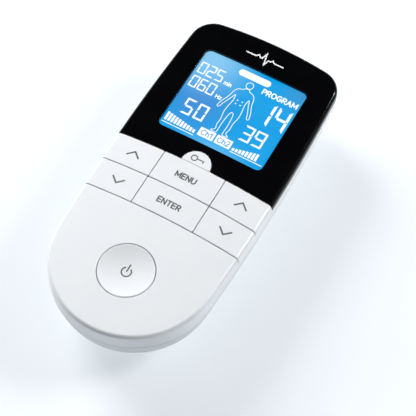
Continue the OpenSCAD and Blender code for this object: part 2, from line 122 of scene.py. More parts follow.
def corner_centre():
    """Centre of the arc that rounds the corner between a long side and the display end."""
    to_side, to_top = SIDE_R - CORNER_R, TOP_R - CORNER_R
    between = np.array([-SIDE_C, TOP_C - SIDE_MID])
    gap = np.linalg.norm(between)
    along = (to_side**2 - to_top**2 + gap**2) / (2 * gap)
    off = math.sqrt(to_side**2 - along**2)
    unit = between / gap
    return np.array([SIDE_C, SIDE_MID]) + along * unit + off * np.array([-unit[1], unit[0]])


CORNER = corner_centre()
LOW_ANGLE = math.atan2(LOW_Y - SIDE_MID, -SIDE_C)
SIDE_ANGLE = math.atan2(CORNER[1] - SIDE_MID, CORNER[0] - SIDE_C)
CORNER_ANGLE = math.atan2(CORNER[1] - TOP_C, CORNER[0])
RIGHT, RIGHT_CORNER, TOP, LEFT_CORNER, LEFT, TAIL = range(6)
# Each arc is centre x, centre y, radius, first angle, last angle; they run counterclockwise.
ARCS = np.array([
    [SIDE_C, SIDE_MID, SIDE_R, LOW_ANGLE, SIDE_ANGLE],
    [CORNER[0], CORNER[1], CORNER_R, SIDE_ANGLE, CORNER_ANGLE],
    [0, TOP_C, TOP_R, CORNER_ANGLE, math.pi - CORNER_ANGLE],
    [-CORNER[0], CORNER[1], CORNER_R, math.pi - CORNER_ANGLE, math.pi - SIDE_ANGLE],
    [-SIDE_C, SIDE_MID, SIDE_R, math.pi - SIDE_ANGLE, math.pi - LOW_ANGLE],
    [0, LOW_Y, LOW_R, math.pi - LOW_ANGLE, 2 * math.pi + LOW_ANGLE],
])


def crown_drop(x):
    """How far the face at x lies below its middle."""
    return CROWN * (2 * x / CASE_W) ** 2


# ------------------------------------------------------------------ surfaces
# A surface turns points of a flat plan into places in space, with the outward normal there.


class Surface:
    """Any such surface. It has no points of its own inside an outline unless grid gives some."""
    sign = 1
    probe = 0.02                   # half the step over which a normal is measured

    def normal(self, q):
        dx = np.array([self.probe, 0])
        dy = np.array([0, self.probe])
        along_x = self.place(q + dx) - self.place(q - dx)
        along_y = self.place(q + dy) - self.place(q - dy)
        return unit(self.sign * np.cross(along_x, along_y))

    def grid(self, low, high):
        return np.zeros((0, 2))


class Plane(Surface):
    """A flat plan laid in space by its origin and two directions."""

    def __init__(self, origin, u=(1, 0, 0), v=(0, 1, 0)):
        self.origin = np.array(origin, float)
        self.axes = np.array([u, v], float)

    def place(self, q):
        return self.origin + q @ self.axes


class Skin(Surface):
    """One side of the case: its flat part as it is, with the turned-down sides rolled out round it."""

    def __init__(self, base, sign):
        self.base = base           # inset of the line where the flat part ends
        self.sign = sign           # 1 for the face, -1 for the back

    def locate(self, q):
        """Signed distance past the flat part, and the arc's centre, radius and direction there."""
        d = q[:, None, :] - ARCS[None, :, :2]
        dist = np.linalg.norm(d, axis=2)
        middle = (ARCS[:, 3] + ARCS[:, 4]) / 2
        half = (ARCS[:, 4] - ARCS[:, 3]) / 2 + 1e-9
        turn = np.arctan2(d[:, :, 1], d[:, :, 0]) - middle
        turn = np.abs((turn + math.pi) % (2 * math.pi) - math.pi)
        past = np.where(turn <= half, dist - ARCS[:, 2] + self.base, -1e3)
        best = past.argmax(axis=1)
        rows = np.arange(len(q))
        outward = d[rows, best] / np.maximum(dist[rows, best], 1e-9)[:, None]
        return past[rows, best], ARCS[best, :2], ARCS[best, 2], outward

    def place(self, q):
        past, centre, radius, outward = self.locate(q)
        inset, fall = self.profile(np.maximum(past, 0))
        side = centre + outward * (radius - inset)[:, None]
        xy = np.where((past > 0)[:, None], side, q)
        return np.column_stack([xy, self.level(xy[:, 0]) - self.sign * fall])

    def unroll(self, xy):
        """Plan points of the places that lie at these x and y."""
        past, centre, radius, outward = self.locate(xy)
        reach = self.reach_of_inset(np.clip(self.base - past, 0, self.base))
        side = centre + outward * (radius - self.base + reach)[:, None]
        return np.where((past > 0)[:, None], side, xy)

    def reach_at(self, x, z):
        """Rolled-out distance past the flat part at which the side is at height z."""
        return self.reach_of_fall(self.sign * (self.level(x) - z))

    def edge(self, arc, z, start=None, stop=None):
        """Plan points along one arc at height z; start and stop are y where the arc is a side."""
        cx, cy, r, a0, a1 = ARCS[arc]
        flat_r = r - self.base
        reach = self.reach_at(CASE_W / 2, z)

        def at(y):
            a = math.asin((y - cy) / (flat_r + reach))
            return a if arc == RIGHT else math.pi - a

        a0 = a0 if start is None else at(start)
        a1 = a1 if stop is None else at(stop)
        n = max(2, math.ceil((a1 - a0) * (flat_r + reach) / STEP))
        u = around(np.linspace(a0, a1, n, endpoint=False))
        reach = self.reach_at(cx + u[:, 0] * (r - 0.1), z)
        return np.array([cx, cy]) + u * (flat_r + reach)[:, None]

    def on_end(self, x, z, arc):
        """Plan points of places at x and z on the wall of one end."""
        x, z = np.broadcast_arrays(np.atleast_1d(x).astype(float), z)
        cx, cy, r = ARCS[arc, :3]
        reach = self.reach_at(x, z)
        inset = self.profile(reach)[0]
        ux = x / (r - inset)
        uy = np.sqrt(1 - ux**2) * (1 if arc == TOP else -1)
        return np.array([cx, cy]) + np.column_stack([ux, uy]) * (r - self.base + reach)[:, None]

    def grid(self, low, high):
        """Plan points all over the skin: a triangular net on the flat, rows along the sides."""
        xs = np.arange(low[0], high[0], GRID)
        ys = np.arange(low[1], high[1], GRID * 0.87)
        flat = np.array([[x + (j % 2) * GRID / 2, y] for j, y in enumerate(ys) for x in xs])
        past = self.locate(flat)[0]
        points = [flat[past < -GRID * 0.6]]
        for reach in self.rows:
            for cx, cy, r, a0, a1 in ARCS:
                n = max(2, math.ceil((a1 - a0) * (r - self.base + max(reach, 2)) / self.row_step))
                u = around(np.linspace(a0, a1, n, endpoint=False))
                points.append(np.array([cx, cy]) + u * (r - self.base + reach))
        return np.concatenate(points)


class Face(Skin):
    """The crowned face, its soft edge and the straight side below it."""
    row_step = 1.3
    turn_l = EDGE_R * math.pi / 2

    def __init__(self):
        super().__init__(FRONT_DRAFT + EDGE_R, 1)
        self.wall_l = FACE_Z - EDGE_R - PARTING_Z
        turned = [self.turn_l * k / 8 for k in range(9)]
        self.rows = [-1.2, *turned, *[self.turn_l + 1.5 * k for k in range(1, 4)]]

    def level(self, x):
        return FACE_Z - crown_drop(x)

    def profile(self, e):
        t = np.minimum(e / EDGE_R, math.pi / 2)
        below = np.maximum(e - self.turn_l, 0)
        inset = FRONT_DRAFT * (1 - below / self.wall_l) + EDGE_R * (1 - np.sin(t))
        return inset, EDGE_R * (1 - np.cos(t)) + below

    def reach_of_fall(self, fall):
        turned = EDGE_R * np.arccos(np.clip(1 - fall / EDGE_R, 0, 1))
        return turned + np.maximum(fall - EDGE_R, 0)


class Back(Skin):
    """The flat back, the tuck round it and the drafted side above."""
    row_step = 1.6
    pace = (TUCK_IN + TUCK_RISE) / 2
    last = 0.19                    # angle at which the tuck runs straight on into the side
    tuck_l = pace * (math.pi / 2 - last)
    side_inset = TUCK_DRAFT + TUCK_IN * (1 - math.cos(last))
    side_fall = TUCK_RISE * (1 - math.sin(last))

    def __init__(self):
        super().__init__(TUCK_DRAFT + TUCK_IN, -1)
        turned = [self.tuck_l * k / 12 for k in range(13)]
        self.rows = [-1.4, *turned, *[self.tuck_l + 1.6 * k for k in range(1, 4)]]
        self.side_rise = PARTING_Z - BACK_Z - self.side_fall

    def level(self, x):
        return BACK_Z + 0 * x

    def profile(self, e):
        a = math.pi / 2 - np.minimum(e, self.tuck_l) / self.pace
        above = np.maximum(e - self.tuck_l, 0) / self.side_rise
        inset = TUCK_DRAFT + TUCK_IN * (1 - np.cos(a)) - self.side_inset * above
        return inset, TUCK_RISE * (1 - np.sin(a)) + self.side_rise * above

    def reach_of_fall(self, fall):
        a = np.arcsin(np.clip(1 - fall / TUCK_RISE, math.sin(self.last), 1))
        return self.pace * (math.pi / 2 - a) + np.maximum(fall - self.side_fall, 0)

    def reach_of_inset(self, inset):
        a = np.arccos(np.clip(1 - (inset - TUCK_DRAFT) / TUCK_IN, 0, math.cos(self.last)))
        return self.pace * (math.pi / 2 - a)


class Dish(Surface):
    """The power button's round dish, which meets the crowned face at its rim."""

    def __init__(self, middle, r):
        self.middle = np.array(middle, float)
        self.r = r

    def place(self, q):
        out = np.linalg.norm(q, axis=1) / self.r
        xy = q + self.middle
        return np.column_stack([xy, FACE_Z - crown_drop(xy[:, 0]) - DISH * np.maximum(1 - out**2, 0)])

    def grid(self, low, high):
        rings = [[r * math.cos(a), r * math.sin(a)] for r in np.arange(0.7, self.r, 0.7)
                 for a in np.arange(0, 2 * math.pi, 0.9 / r)]
        return np.array(rings)


FACE, BACK = Face(), Back()

# ------------------------------------------------------------------ plan outlines


def arc_points(middle, r, start, stop, step=STEP):
    """Points along an arc, without its last one; angles in degrees."""
    n = max(3, math.ceil(abs(math.radians(stop - start)) * r / step))
    return np.array(middle, float) + r * around(np.radians(np.linspace(start, stop, n, endpoint=False)))


def circle(middle, r, step=STEP):
    return arc_points(middle, r, 0, 360, step)


def rectangle(x0, y0, x1, y1):
    return np.array([[x0, y0], [x1, y0], [x1, y1], [x0, y1]], float)


def resampled(loop, step=STEP):
    """The loop with extra points wherever two are further apart than step."""
    out = []
    for a, b in zip(loop, np.roll(loop, -1, axis=0)):
        n = max(1, math.ceil(np.linalg.norm(b - a) / step))
        out.append(a + (b - a) * np.arange(n)[:, None] / n)
    return np.concatenate(out)


def rounded(loop, r, step=STEP):
    """The loop with each sharp corner turned into an arc of radius r."""
    keep = np.linalg.norm(loop - np.roll(loop, 1, axis=0), axis=1) > 1e-6
    loop = loop[keep]
    before = loop - np.roll(loop, 1, axis=0)
    after = np.roll(loop, -1, axis=0) - loop
    turn = np.arctan2(before[:, 0] * after[:, 1] - before[:, 1] * after[:, 0], (before * after).sum(1))
    sharp = np.abs(turn) > math.radians(25)
    trim = np.where(sharp, r * np.tan(np.minimum(np.abs(turn), 2.6) / 2), 0)
    at = np.concatenate([[0], np.cumsum(np.linalg.norm(after, axis=1))])
    total = at[-1]
    closed = np.vstack([loop, loop[:1]])

    def walk(s):
        s = s % total
        return np.array([np.interp(s, at, closed[:, 0]), np.interp(s, at, closed[:, 1])])

    out = []
    for i, p in enumerate(loop):
        if sharp[i]:
            first, last = walk(at[i] - trim[i]), walk(at[i] + trim[i])
            inward = unit((first - p) / trim[i] + (last - p) / trim[i])
            middle = p + inward * math.hypot(r, trim[i])
            a0 = math.atan2(*(first - middle)[::-1])
            sweep = turn[i]
            steps = max(3, math.ceil(abs(math.degrees(sweep)) / 15))
            out.append(middle + r * around(a0 + sweep * np.arange(steps + 1) / steps))
        elif all(min((at[i] - at[j]) % total, (at[j] - at[i]) % total) > trim[j] + 0.02
                 for j in np.flatnonzero(sharp)):
            out.append(p[None])
    return resampled(np.concatenate(out), step)


def mitres(p, limit, closed=True):
    """The shift of each point to its left that moves both its edges by 1, or less at a sharp corner."""
    before = p - np.roll(p, 1, axis=0)
    after = np.roll(p, -1, axis=0) - p
    if not closed:
        before[0], after[-1] = after[0], before[-1]
    after = unit(after)
    side = unit(unit(before) + after)
    left = np.column_stack([-side[:, 1], side[:, 0]])
    return left / np.maximum((side * after).sum(1), limit)[:, None]


def stroke(points, width, closed=False):
    """Outline of a line of some width with round ends. A closed line gives two outlines."""
    p = np.array(points, float)
    left = mitres(p, 0.3, closed) * width / 2
    if closed:
        return [p - left, (p + left)[::-1]]

    def end(at, beyond):
        heading = math.degrees(math.atan2(*(at - beyond)[::-1]))
        return arc_points(at, width / 2, heading - 90, heading + 90, width / 5)[1:]

    return [np.concatenate([p - left, end(p[-1], p[-2]), (p + left)[::-1], end(p[0], p[1])])]


def inside(points, loops):
    """Which points lie in the area that the loops bound."""
    hit = np.zeros(len(points), bool)
    for loop in loops:
        a, b = loop, np.roll(loop, -1, axis=0)
        for (ax, ay), (bx, by) in zip(a, b):
            if ay == by:
                continue
            spans = (ay > points[:, 1]) != (by > points[:, 1])
            cross = ax + (points[:, 1] - ay) * (bx - ax) / (by - ay)
            hit ^= spans & (points[:, 0] < cross)
    return hit


# ------------------------------------------------------------------ solids
# A solid is (vertices in millimetres, faces, one normal for each corner of each face).


def edge_rings(depth, top_r, low_r, steps=4):
    """Rings down an edge: (inward, down, share of the face's normal, share of the outward one)."""
    turns = [(math.cos(t), math.sin(t)) for t in np.linspace(0, math.pi / 2, steps + 1)]
    rings = [(top_r * (1 - s), top_r * (1 - c), c, s) for c, s in turns]
    if low_r:
        rings += [(low_r * (1 - c), depth - low_r * (1 - s), -s, c) for c, s in turns]
    else:
        rings += [(0, depth, 0, 1), (0, depth, -1, 0)]
    rings.append((top_r, depth, -1, 0))
    return [(round(inward, 9), round(down, 9), flat, side) for inward, down, flat, side in rings]


SLIVER = 1e-4                      # twice the area below which a triangle is only rounding
SAME = 1e-7                        # distance at which two points of a plan are one
HULL = 0                           # the triangulation's own number for all it finds


def triangles(points, loops):
    """Faces of the area between the loops, as indices into points."""
    outline, first = [], 0
    for loop in loops:
        n = len(loop)
        outline += [(first + i, first + (i + 1) % n) for i in range(n)]
        first += n
    found = delaunay_2d_cdt([Vector(p) for p in points], outline, [], HULL, SAME)
    index = [s[0] if s else -1 for s in found[3]]
    faces = np.array([[index[i] for i in f] for f in found[2]])
    faces = faces[(faces >= 0).all(axis=1)]
    corner = points[faces]
    (ax, ay), (bx, by) = (corner[:, 1] - corner[:, 0]).T, (corner[:, 2] - corner[:, 0]).T
    size = np.abs(ax * by - ay * bx)
    within = inside(corner.mean(axis=1), loops) & (size > SLIVER)
    # Triangles that join across an edge that is no outline are kept or dropped with the largest of them.
    walls = {frozenset(e) for e in outline}
    sides = [[frozenset((f[i - 1], f[i])) for i in range(3)] for f in faces.tolist()]
    beside = {}
    for k, edges in enumerate(sides):
        for e in edges:
            if e not in walls:
                beside.setdefault(e, []).append(k)
    kept = np.full(len(faces), -1)
    for start in np.argsort(-size, kind="stable"):
        todo = [start] if kept[start] < 0 else []
        while todo:
            k = todo.pop()
            if kept[k] < 0:
                kept[k] = within[start]
                todo += [j for e in sides[k] for j in beside.get(e, ())]
    return faces[kept == 1]


CLEAR_OF_RIM = 0.45                # how far a plate's inner points stay from its outlines


def plate(surface, loops, depth, top_r=0.2, low_r=0.0, lift=0.0, steps=4, fine=True):
    """A piece of even thickness under a surface, with rounded edges. The first loop runs
    counterclockwise round it, and the others clockwise round its holes."""
    loops = [np.asarray(loop, float) for loop in loops]
    inward = [mitres(loop, 0.4) for loop in loops]
    drawn = [loop + top_r * n for loop, n in zip(loops, inward)]
    rim = np.concatenate(drawn)
    low, high = rim.min(0), rim.max(0)
    extra = surface.grid(low, high) if fine else np.zeros((0, 2))
    if len(extra):
        extra = extra[inside(extra, drawn)]
        clear = np.min([np.linalg.norm(extra - p, axis=1) for p in rim], axis=0)
        extra = extra[clear > CLEAR_OF_RIM]
    points = np.concatenate([rim, extra])
    flat = triangles(points, drawn)
    n_flat = len(points)

    def layer(q, down):
        return surface.place(q) + surface.normal(q) * (lift - down)

    rings = edge_rings(depth, top_r, low_r, steps)
    all_loop = np.concatenate(loops)
    all_in = np.concatenate(inward)
    sizes = [len(loop) for loop in loops]
    starts = np.cumsum([0] + sizes[:-1])
    base = np.arange(len(all_loop))
    verts = [layer(points, 0), layer(points, depth)]
    face_normal = surface.normal(points)
    edge_normal = surface.normal(all_loop)
    outward = surface.place(all_loop - all_in * 0.01) - surface.place(all_loop + all_in * 0.01)
    outward = unit(outward - (outward * edge_normal).sum(1, keepdims=True) * edge_normal)
    ids, ring_normals, count = [], [], 2 * n_flat
    for k, (d, h, share_n, share_o) in enumerate(rings):
        if k == 0:
            ids.append(base)
        elif k == len(rings) - 1 or (d, h) == (top_r, depth):
            ids.append(base + n_flat)
        elif (d, h) == rings[k - 1][:2]:
            ids.append(ids[-1])
        else:
            verts.append(layer(all_loop + all_in * d, h))
            ids.append(base + count)
            count += len(base)
        ring_normals.append(share_n * edge_normal + share_o * outward)
    nxt = np.concatenate([s + np.roll(np.arange(n), -1) for s, n in zip(starts, sizes)])
    faces, normals = [], []
    for f in flat:
        faces += [list(f), [v + n_flat for v in f[::-1]]]
        normals += [face_normal[f], -face_normal[f[::-1]]]
    for k in range(len(rings) - 1):
        a, b = ids[k], ids[k + 1]
        if a is b or (a == b).all():
            continue
        na, nb = ring_normals[k], ring_normals[k + 1]
        for i, j in zip(base, nxt):
            faces.append([a[i], b[i], b[j], a[j]])
            normals.append([na[i], nb[i], nb[j], na[j]])
    if surface.sign < 0:
        faces = [f[::-1] for f in faces]
        normals = [n[::-1] for n in normals]
    return np.concatenate(verts), faces, normals


def block(low, high, r=0.25, low_r=None):
    """A moulded bar with rounded edges between two corners."""
    low, high = np.array(low, float), np.array(high, float)
    loop = rounded(rectangle(low[0], low[1], high[0], high[1]), max(r * 1.3, 0.05), 5)
    return plate(Plane((0, 0, high[2])), [loop], high[2] - low[2], r, r if low_r is None else low_r,
                 steps=3, fine=False)


def lathe(origin, axis, profile, closed=False, turns=64):
    """A turned piece. The profile lists (radius, height) with the material on its left."""
    axis = unit(np.array(axis, float))
    u = unit(np.cross(axis, [0, 0, 1.0] if abs(axis[2]) < 0.9 else [1.0, 0, 0]))
    v = np.cross(axis, u)
    p = np.array(profile, float)
    n = len(p)
    spans = n if closed else n - 1
    along = (np.roll(p, -1, axis=0) - p)[:spans]
    slope = unit(along[:, ::-1] * [1, -1])

    def joined(k, other):
        """Normal at one end of span k, smoothed with its neighbour where they nearly agree."""
        if not closed and not 0 <= other < spans:
            return slope[k]
        near = slope[other % spans]
        return slope[k] if slope[k] @ near < 0.75 else unit(slope[k] + near)

    out = around(2 * math.pi * np.arange(turns) / turns) @ [u, v]
    verts, ids = [], []
    for r, h in p:
        centre = np.array(origin, float) + axis * h
        if r < 1e-9:
            ids.append([len(verts)] * turns)
            verts.append(centre)
        else:
            ids.append(list(range(len(verts), len(verts) + turns)))
            verts += list(centre + r * out)
    faces, normals = [], []
    for k in range(spans):
        a, b = ids[k], ids[(k + 1) % n]
        na, nb = joined(k, k - 1), joined(k, k + 1)
        for i in range(turns):
            j = (i + 1) % turns
            quad = [(a[i], na, i), (a[j], na, j), (b[j], nb, j), (b[i], nb, i)]
            seen, corner = [], []
            for vert, normal, t in quad:
                if vert not in seen:
                    seen.append(vert)
                    corner.append(normal[0] * out[t] + normal[1] * axis)
            faces.append(seen)
            normals.append(corner)
    return np.array(verts), faces, normals


def swept(points, r, sides=10):
    """A round wire along a list of points."""
    p = np.array(points, float)
    tangent = unit(np.gradient(p, axis=0))
    side = np.cross(tangent[0], [0.3, 0.2, 0.9])
    circle_points = around(2 * math.pi * np.arange(sides) / sides)
    out_all = []
    for t in tangent:
        side = unit(side - (side @ t) * t)
        out_all += list(circle_points @ [side, np.cross(t, side)])
    verts = np.repeat(p, sides, axis=0) + r * np.array(out_all)
    faces, normals = [], []
    for k in range(len(p) - 1):
        for i in range(sides):
            j = (i + 1) % sides
            f = [k * sides + i, k * sides + j, (k + 1) * sides + j, (k + 1) * sides + i]
            faces.append(f)
            normals.append([out_all[v] for v in f])
    first, last = list(range(sides))[::-1], list(range((len(p) - 1) * sides, len(p) * sides))
    faces += [first, last]
    normals += [[-tangent[0]] * sides, [tangent[-1]] * sides]
    return verts, faces, normals


def bow(x, y, rx, ry, start, stop):
    """Points along a part of an ellipse; angles in degrees."""
    turns = [math.radians(start + (stop - start) * k / 12) for k in range(13)]
    return [(x + rx * math.cos(t), y + ry * math.sin(t)) for t in turns]


# Each letter is its width and its lines, where a capital is 1 high.
GLYPHS = {
    "A": (0.74, [[(0, 0), (0.37, 1), (0.74, 0)], [(0.14, 0.36), (0.6, 0.36)]]),
    "C": (0.72, [bow(0.4, 0.5, 0.4, 0.5, 48, 312)]),
    "E": (0.56, [[(0.56, 1), (0, 1), (0, 0), (0.56, 0)], [(0, 0.52), (0.5, 0.52)]]),
    "G": (0.78, [[*bow(0.4, 0.5, 0.4, 0.5, 48, 325), (0.78, 0.46), (0.45, 0.46)]]),
    "H": (0.68, [[(0, 0), (0, 1)], [(0.68, 0), (0.68, 1)], [(0, 0.52), (0.68, 0.52)]]),
    "M": (0.9, [[(0, 0), (0, 1), (0.45, 0.22), (0.9, 1), (0.9, 0)]]),
    "N": (0.7, [[(0, 0), (0, 1), (0.7, 0), (0.7, 1)]]),
    "O": (0.8, [bow(0.4, 0.5, 0.4, 0.5, 90, 270), bow(0.4, 0.5, 0.4, 0.5, -90, 90)]),
    "P": (0.58, [[(0, 0), (0, 1), *bow(0.33, 0.73, 0.25, 0.27, 90, -90), (0, 0.46)]]),
    "R": (0.62, [[(0, 0), (0, 1), *bow(0.33, 0.74, 0.26, 0.26, 90, -90), (0, 0.48)],
                 [(0.3, 0.48), (0.62, 0)]]),
    "T": (0.66, [[(0, 1), (0.66, 1)], [(0.33, 1), (0.33, 0)]]),
    "U": (0.74, [[(0, 1), *bow(0.37, 0.36, 0.37, 0.36, 180, 360), (0.74, 1)]]),
    "h": (0.46, [[(0, 0), (0, 1)], [*bow(0.23, 0.46, 0.23, 0.24, 180, 0), (0.46, 0)]]),
    "i": (0.0, [[(0, 0), (0, 0.7)], [(0, 0.94), (0, 1)]]),
    "m": (0.86, [[(0, 0), (0, 0.7)], [*bow(0.215, 0.48, 0.215, 0.22, 180, 0), (0.43, 0)],
                 [*bow(0.645, 0.48, 0.215, 0.22, 180, 0), (0.86, 0)]]),
    "n": (0.46, [[(0, 0), (0, 0.7)], [*bow(0.23, 0.46, 0.23, 0.24, 180, 0), (0.46, 0)]]),
    "z": (0.48, [[(0, 0.7), (0.48, 0.7), (0, 0), (0.48, 0)]]),
    "1": (0.3, [[(0, 0.76), (0.28, 1), (0.28, 0)]]),
    "2": (0.54, [[*bow(0.27, 0.73, 0.27, 0.27, 165, -40), (0, 0), (0.54, 0)]]),
}


def split_at_corners(line):
    """The line in pieces that end at its sharp corners, so that no stroke overlaps itself."""
    p = np.array(line, float)
    heading = np.arctan2(*np.diff(p, axis=0).T[::-1])
    turn = np.abs((np.diff(heading) + math.pi) % (2 * math.pi) - math.pi)
    corner = [0, *(np.flatnonzero(turn > math.radians(35)) + 1), len(p) - 1]
    return [p[a:b + 1] for a, b in zip(corner, corner[1:])]


def word_lines(word, height, middle, spacing=0.24):
    """Centre lines of a word's strokes, centred on a point, with capitals of the given height."""
    x, lines = 0.0, []
    for letter in word:
        width, strokes = GLYPHS[letter]
        lines += [piece + [x, -0.5] for line in strokes for piece in split_at_corners(line)]
        x += width + spacing
    shift = np.array([(x - spacing) / 2, 0])
    return [(line - shift) * height + np.array(middle, float) for line in lines]


def inked(surface, lines, width, lift=PRINT_H, closed=False):
    """Thin raised strokes along some lines of a surface's plan."""
    return [plate(surface, stroke(line, width, closed), PRINT_H, 0.008, lift=lift, steps=1, fine=False)
            for line in lines]


def added(name, data):
    """A new object of the scene with some data."""
    made = bpy.data.objects.new(name, data)
    bpy.context.scene.collection.objects.link(made)
    return made


def make(name, solids, material, body="case", replaces=()):
    """One Blender object from some solids, riding on a body of the frame."""
    verts, faces, normals, first = [], [], [], 0
    for v, f, n in solids:
        verts.append(v)
        faces += [[i + first for i in face] for face in f]
        normals += [np.asarray(corner) for corner in n]
        first += len(v)
    mesh = bpy.data.meshes.new(name)
    mesh.from_pydata((np.concatenate(verts) * MM).tolist(), [], [[int(i) for i in f] for f in faces])
    mesh.polygons.foreach_set("use_smooth", [True] * len(mesh.polygons))
    mesh.update()
    if mesh.validate():
        print("mended a mesh:", name)
    if len(mesh.loops) == sum(len(n) for n in normals):
        mesh.normals_split_custom_set([tuple(c) for n in normals for c in n])
    mesh.materials.append(material)
    piece = added(name, mesh)
    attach(piece, body)
    if replaces:
        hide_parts(*replaces)


# ------------------------------------------------------------------ materials


def feed(tree, socket, value):
    """Gives a socket of a node tree a value or a link."""
    if isinstance(value, bpy.types.NodeSocket):
        tree.links.new(value, socket)
    else:
        socket.default_value = value


def new_node(tree, kind, inputs=None, **settings):
    """A new node of a tree, whose inputs are given by name or number."""
    made = tree.nodes.new(kind)
    for key, value in settings.items():
        setattr(made, key, value)
    for key, value in (inputs or {}).items():
        feed(tree, made.inputs[key], value)
    return made


class Recipe:
    """A node material under construction, whose patterns are laid out in object space."""

    def __init__(self, name):
        self.material = bpy.data.materials.new(name)
        self.material.use_nodes = True
        self.tree = self.material.node_tree
        self.shader = self.tree.nodes["Principled BSDF"]
        self.space = self.node("ShaderNodeTexCoord").outputs["Object"]

    def node(self, kind, inputs=None, **settings):
        return new_node(self.tree, kind, inputs, **settings)

    def set(self, **values):
        """Gives the shader's sockets values or links; a name's spaces are written as _."""
        for key, value in values.items():
            feed(self.tree, self.shader.inputs[key.replace("_", " ")], value)

    def stretched(self, scale):
        """The space stretched along its axes, for brushed or streaky patterns."""
        made = self.node("ShaderNodeMapping", {"Scale": scale, "Vector": self.space})
        return made.outputs["Vector"]

    def noise(self, size, detail=3.0, rough=0.5, vector=None):
        """Smooth noise whose blobs are about size millimetres across."""
        made = self.node("ShaderNodeTexNoise", {
            "Scale": 1 / (size * MM), "Detail": detail, "Roughness": rough, "Vector": vector or self.space})
        return made.outputs["Fac"]

    def ranged(self, value, low, high, from_low=0.3, from_high=0.7, **settings):
        """The value's range mapped to low and high."""
        made = self.node("ShaderNodeMapRange", {
            "From Min": from_low, "From Max": from_high, "To Min": low, "To Max": high,
            "Value": value}, **settings)
        return made.outputs["Result"]

    def math(self, operation, a, b):
        return self.node("ShaderNodeMath", {0: a, 1: b}, operation=operation).outputs[0]

    def mixed(self, fac, a, b):
        """Colour between a and b; each is a colour or a socket."""
        made = self.node("ShaderNodeMix", {"Factor": fac}, data_type="RGBA")
        sockets = [s for s in made.inputs if s.type == "RGBA"]
        for socket, value in zip(sockets, (a, b)):
            feed(self.tree, socket, (*value, 1) if isinstance(value, tuple) else value)
        return [s for s in made.outputs if s.type == "RGBA"][0]

    def clouded(self, size, light, dark, detail=3.0, rough=0.5):
        """Colour that drifts between light and dark in blobs of about size millimetres."""
        return self.mixed(self.ranged(self.noise(size, detail, rough), 0, 1), light, dark)

    def bump(self, height, strength, depth_mm):
        """Raises the surface by a pattern."""
        made = self.node("ShaderNodeBump", {
            "Strength": strength, "Distance": depth_mm * MM, "Height": height})
        self.set(Normal=made.outputs["Normal"])


def plastic(name, light, dark, rough=(0.27, 0.36), grain=0.25, coat=0.0):
    """Moulded plastic: faint cloudiness, satin patches, fine rubbed lines and a moulded grain."""
    m = Recipe(name)
    rubs = m.noise(2.2, 2, 0.6, m.stretched((0.12, 1, 1)))
    rubbed = m.math("MULTIPLY", m.ranged(rubs, 0, 1, 0.55, 0.9), 0.02)
    m.set(Base_Color=m.clouded(14, light, dark, 4, 0.6), Coat_Weight=coat, Coat_Roughness=0.08,
          Roughness=m.math("ADD", m.ranged(m.noise(6, 3), *rough, 0.15, 0.85), rubbed))
    m.bump(m.math("ADD", m.math("MULTIPLY", m.noise(grain, 2, 0.6), 0.25), m.noise(7, 1)), 0.12, 0.02)
    return m.material


def piano_black():
    """Polished black with a faint haze and swirls from wiping."""
    m = Recipe("piano_black")
    swirl = m.noise(1.6, 3, 0.65, m.stretched((1, 0.1, 1)))
    m.set(Base_Color=m.clouded(9, (0.0007, 0.0007, 0.0009), (0.0015, 0.0015, 0.0019), 4, 0.6),
          Roughness=m.ranged(swirl, 0.05, 0.12, 0.35, 0.75), IOR=1.3)
    m.bump(m.noise(8, 1), 0.08, 0.01)
    return m.material


def clear_window():
    """A clear sheet that shows what lies behind it and mirrors a little from outside."""
    m = Recipe("clear_window")
    clear = m.node("ShaderNodeBsdfTransparent")
    # Only the outer face reflects: inside, the unbent ray would meet total reflection.
    front = m.math("SUBTRACT", 1.0, m.node("ShaderNodeNewGeometry").outputs["Backfacing"])
    split = m.node("ShaderNodeSeparateXYZ", {"Vector": m.node("ShaderNodeTexCoord").outputs["Normal"]})
    outer = m.math("MULTIPLY", front, m.ranged(split.outputs["Z"], 0, 1, 0.9, 0.97))
    fresnel = m.node("ShaderNodeFresnel", {"IOR": 1.3})
    share = m.math("MULTIPLY", fresnel.outputs["Fac"], outer)
    mix = m.node("ShaderNodeMixShader", {0: share, 1: clear.outputs["BSDF"], 2: m.shader.outputs["BSDF"]})
    feed(m.tree, m.tree.nodes["Material Output"].inputs["Surface"], mix.outputs["Shader"])
    m.set(Base_Color=(0.9, 0.93, 0.95, 1), Metallic=1.0, Roughness=m.ranged(m.noise(9, 3), 0.02, 0.06))
    return m.material


def metal(name, light, dark, rough=(0.2, 0.35), brushed=(1, 1, 1), size=2.0):
    """Bare or plated metal with drawn streaks."""
    m = Recipe(name)
    streaks = m.noise(size, 5, 0.65, m.stretched(brushed))
    m.set(Base_Color=m.mixed(m.ranged(streaks, 0, 1), light, dark), Metallic=1.0,
          Roughness=m.ranged(m.noise(size * 0.7, 3), *rough))
    m.bump(streaks, 0.1, 0.01)
    return m.material


def ink(name, light, dark, rough=0.4):
    """Printed ink with a slightly uneven cover."""
    m = Recipe(name)
    m.set(Base_Color=m.clouded(0.5, light, dark),
          Roughness=m.ranged(m.noise(1.5, 2), rough - 0.05, rough + 0.08))
    return m.material


def lit(name, strength, build):
    """A lit part of the display: build gives the socket of the colour in which it shines."""
    m = Recipe(name)
    m.set(Emission_Color=build(m), Base_Color=(0.01, 0.015, 0.02, 1), Emission_Strength=strength,
          Specular_IOR_Level=0.2, Roughness=m.ranged(m.noise(3, 2), 0.3, 0.4))
    return m.material


GLASS_TOP = corners("lcd_glass")[1][2]
WINDOW_LOW, WINDOW_HIGH = corners("display_window")
WINDOW_MID = (WINDOW_LOW + WINDOW_HIGH) / 2


def linear(r, g, b):
    """Linear colour of an eight-bit display colour."""
    return tuple(((c / 255 + 0.055) / 1.055) ** 2.4 if c > 10 else c / 255 / 12.92 for c in (r, g, b))


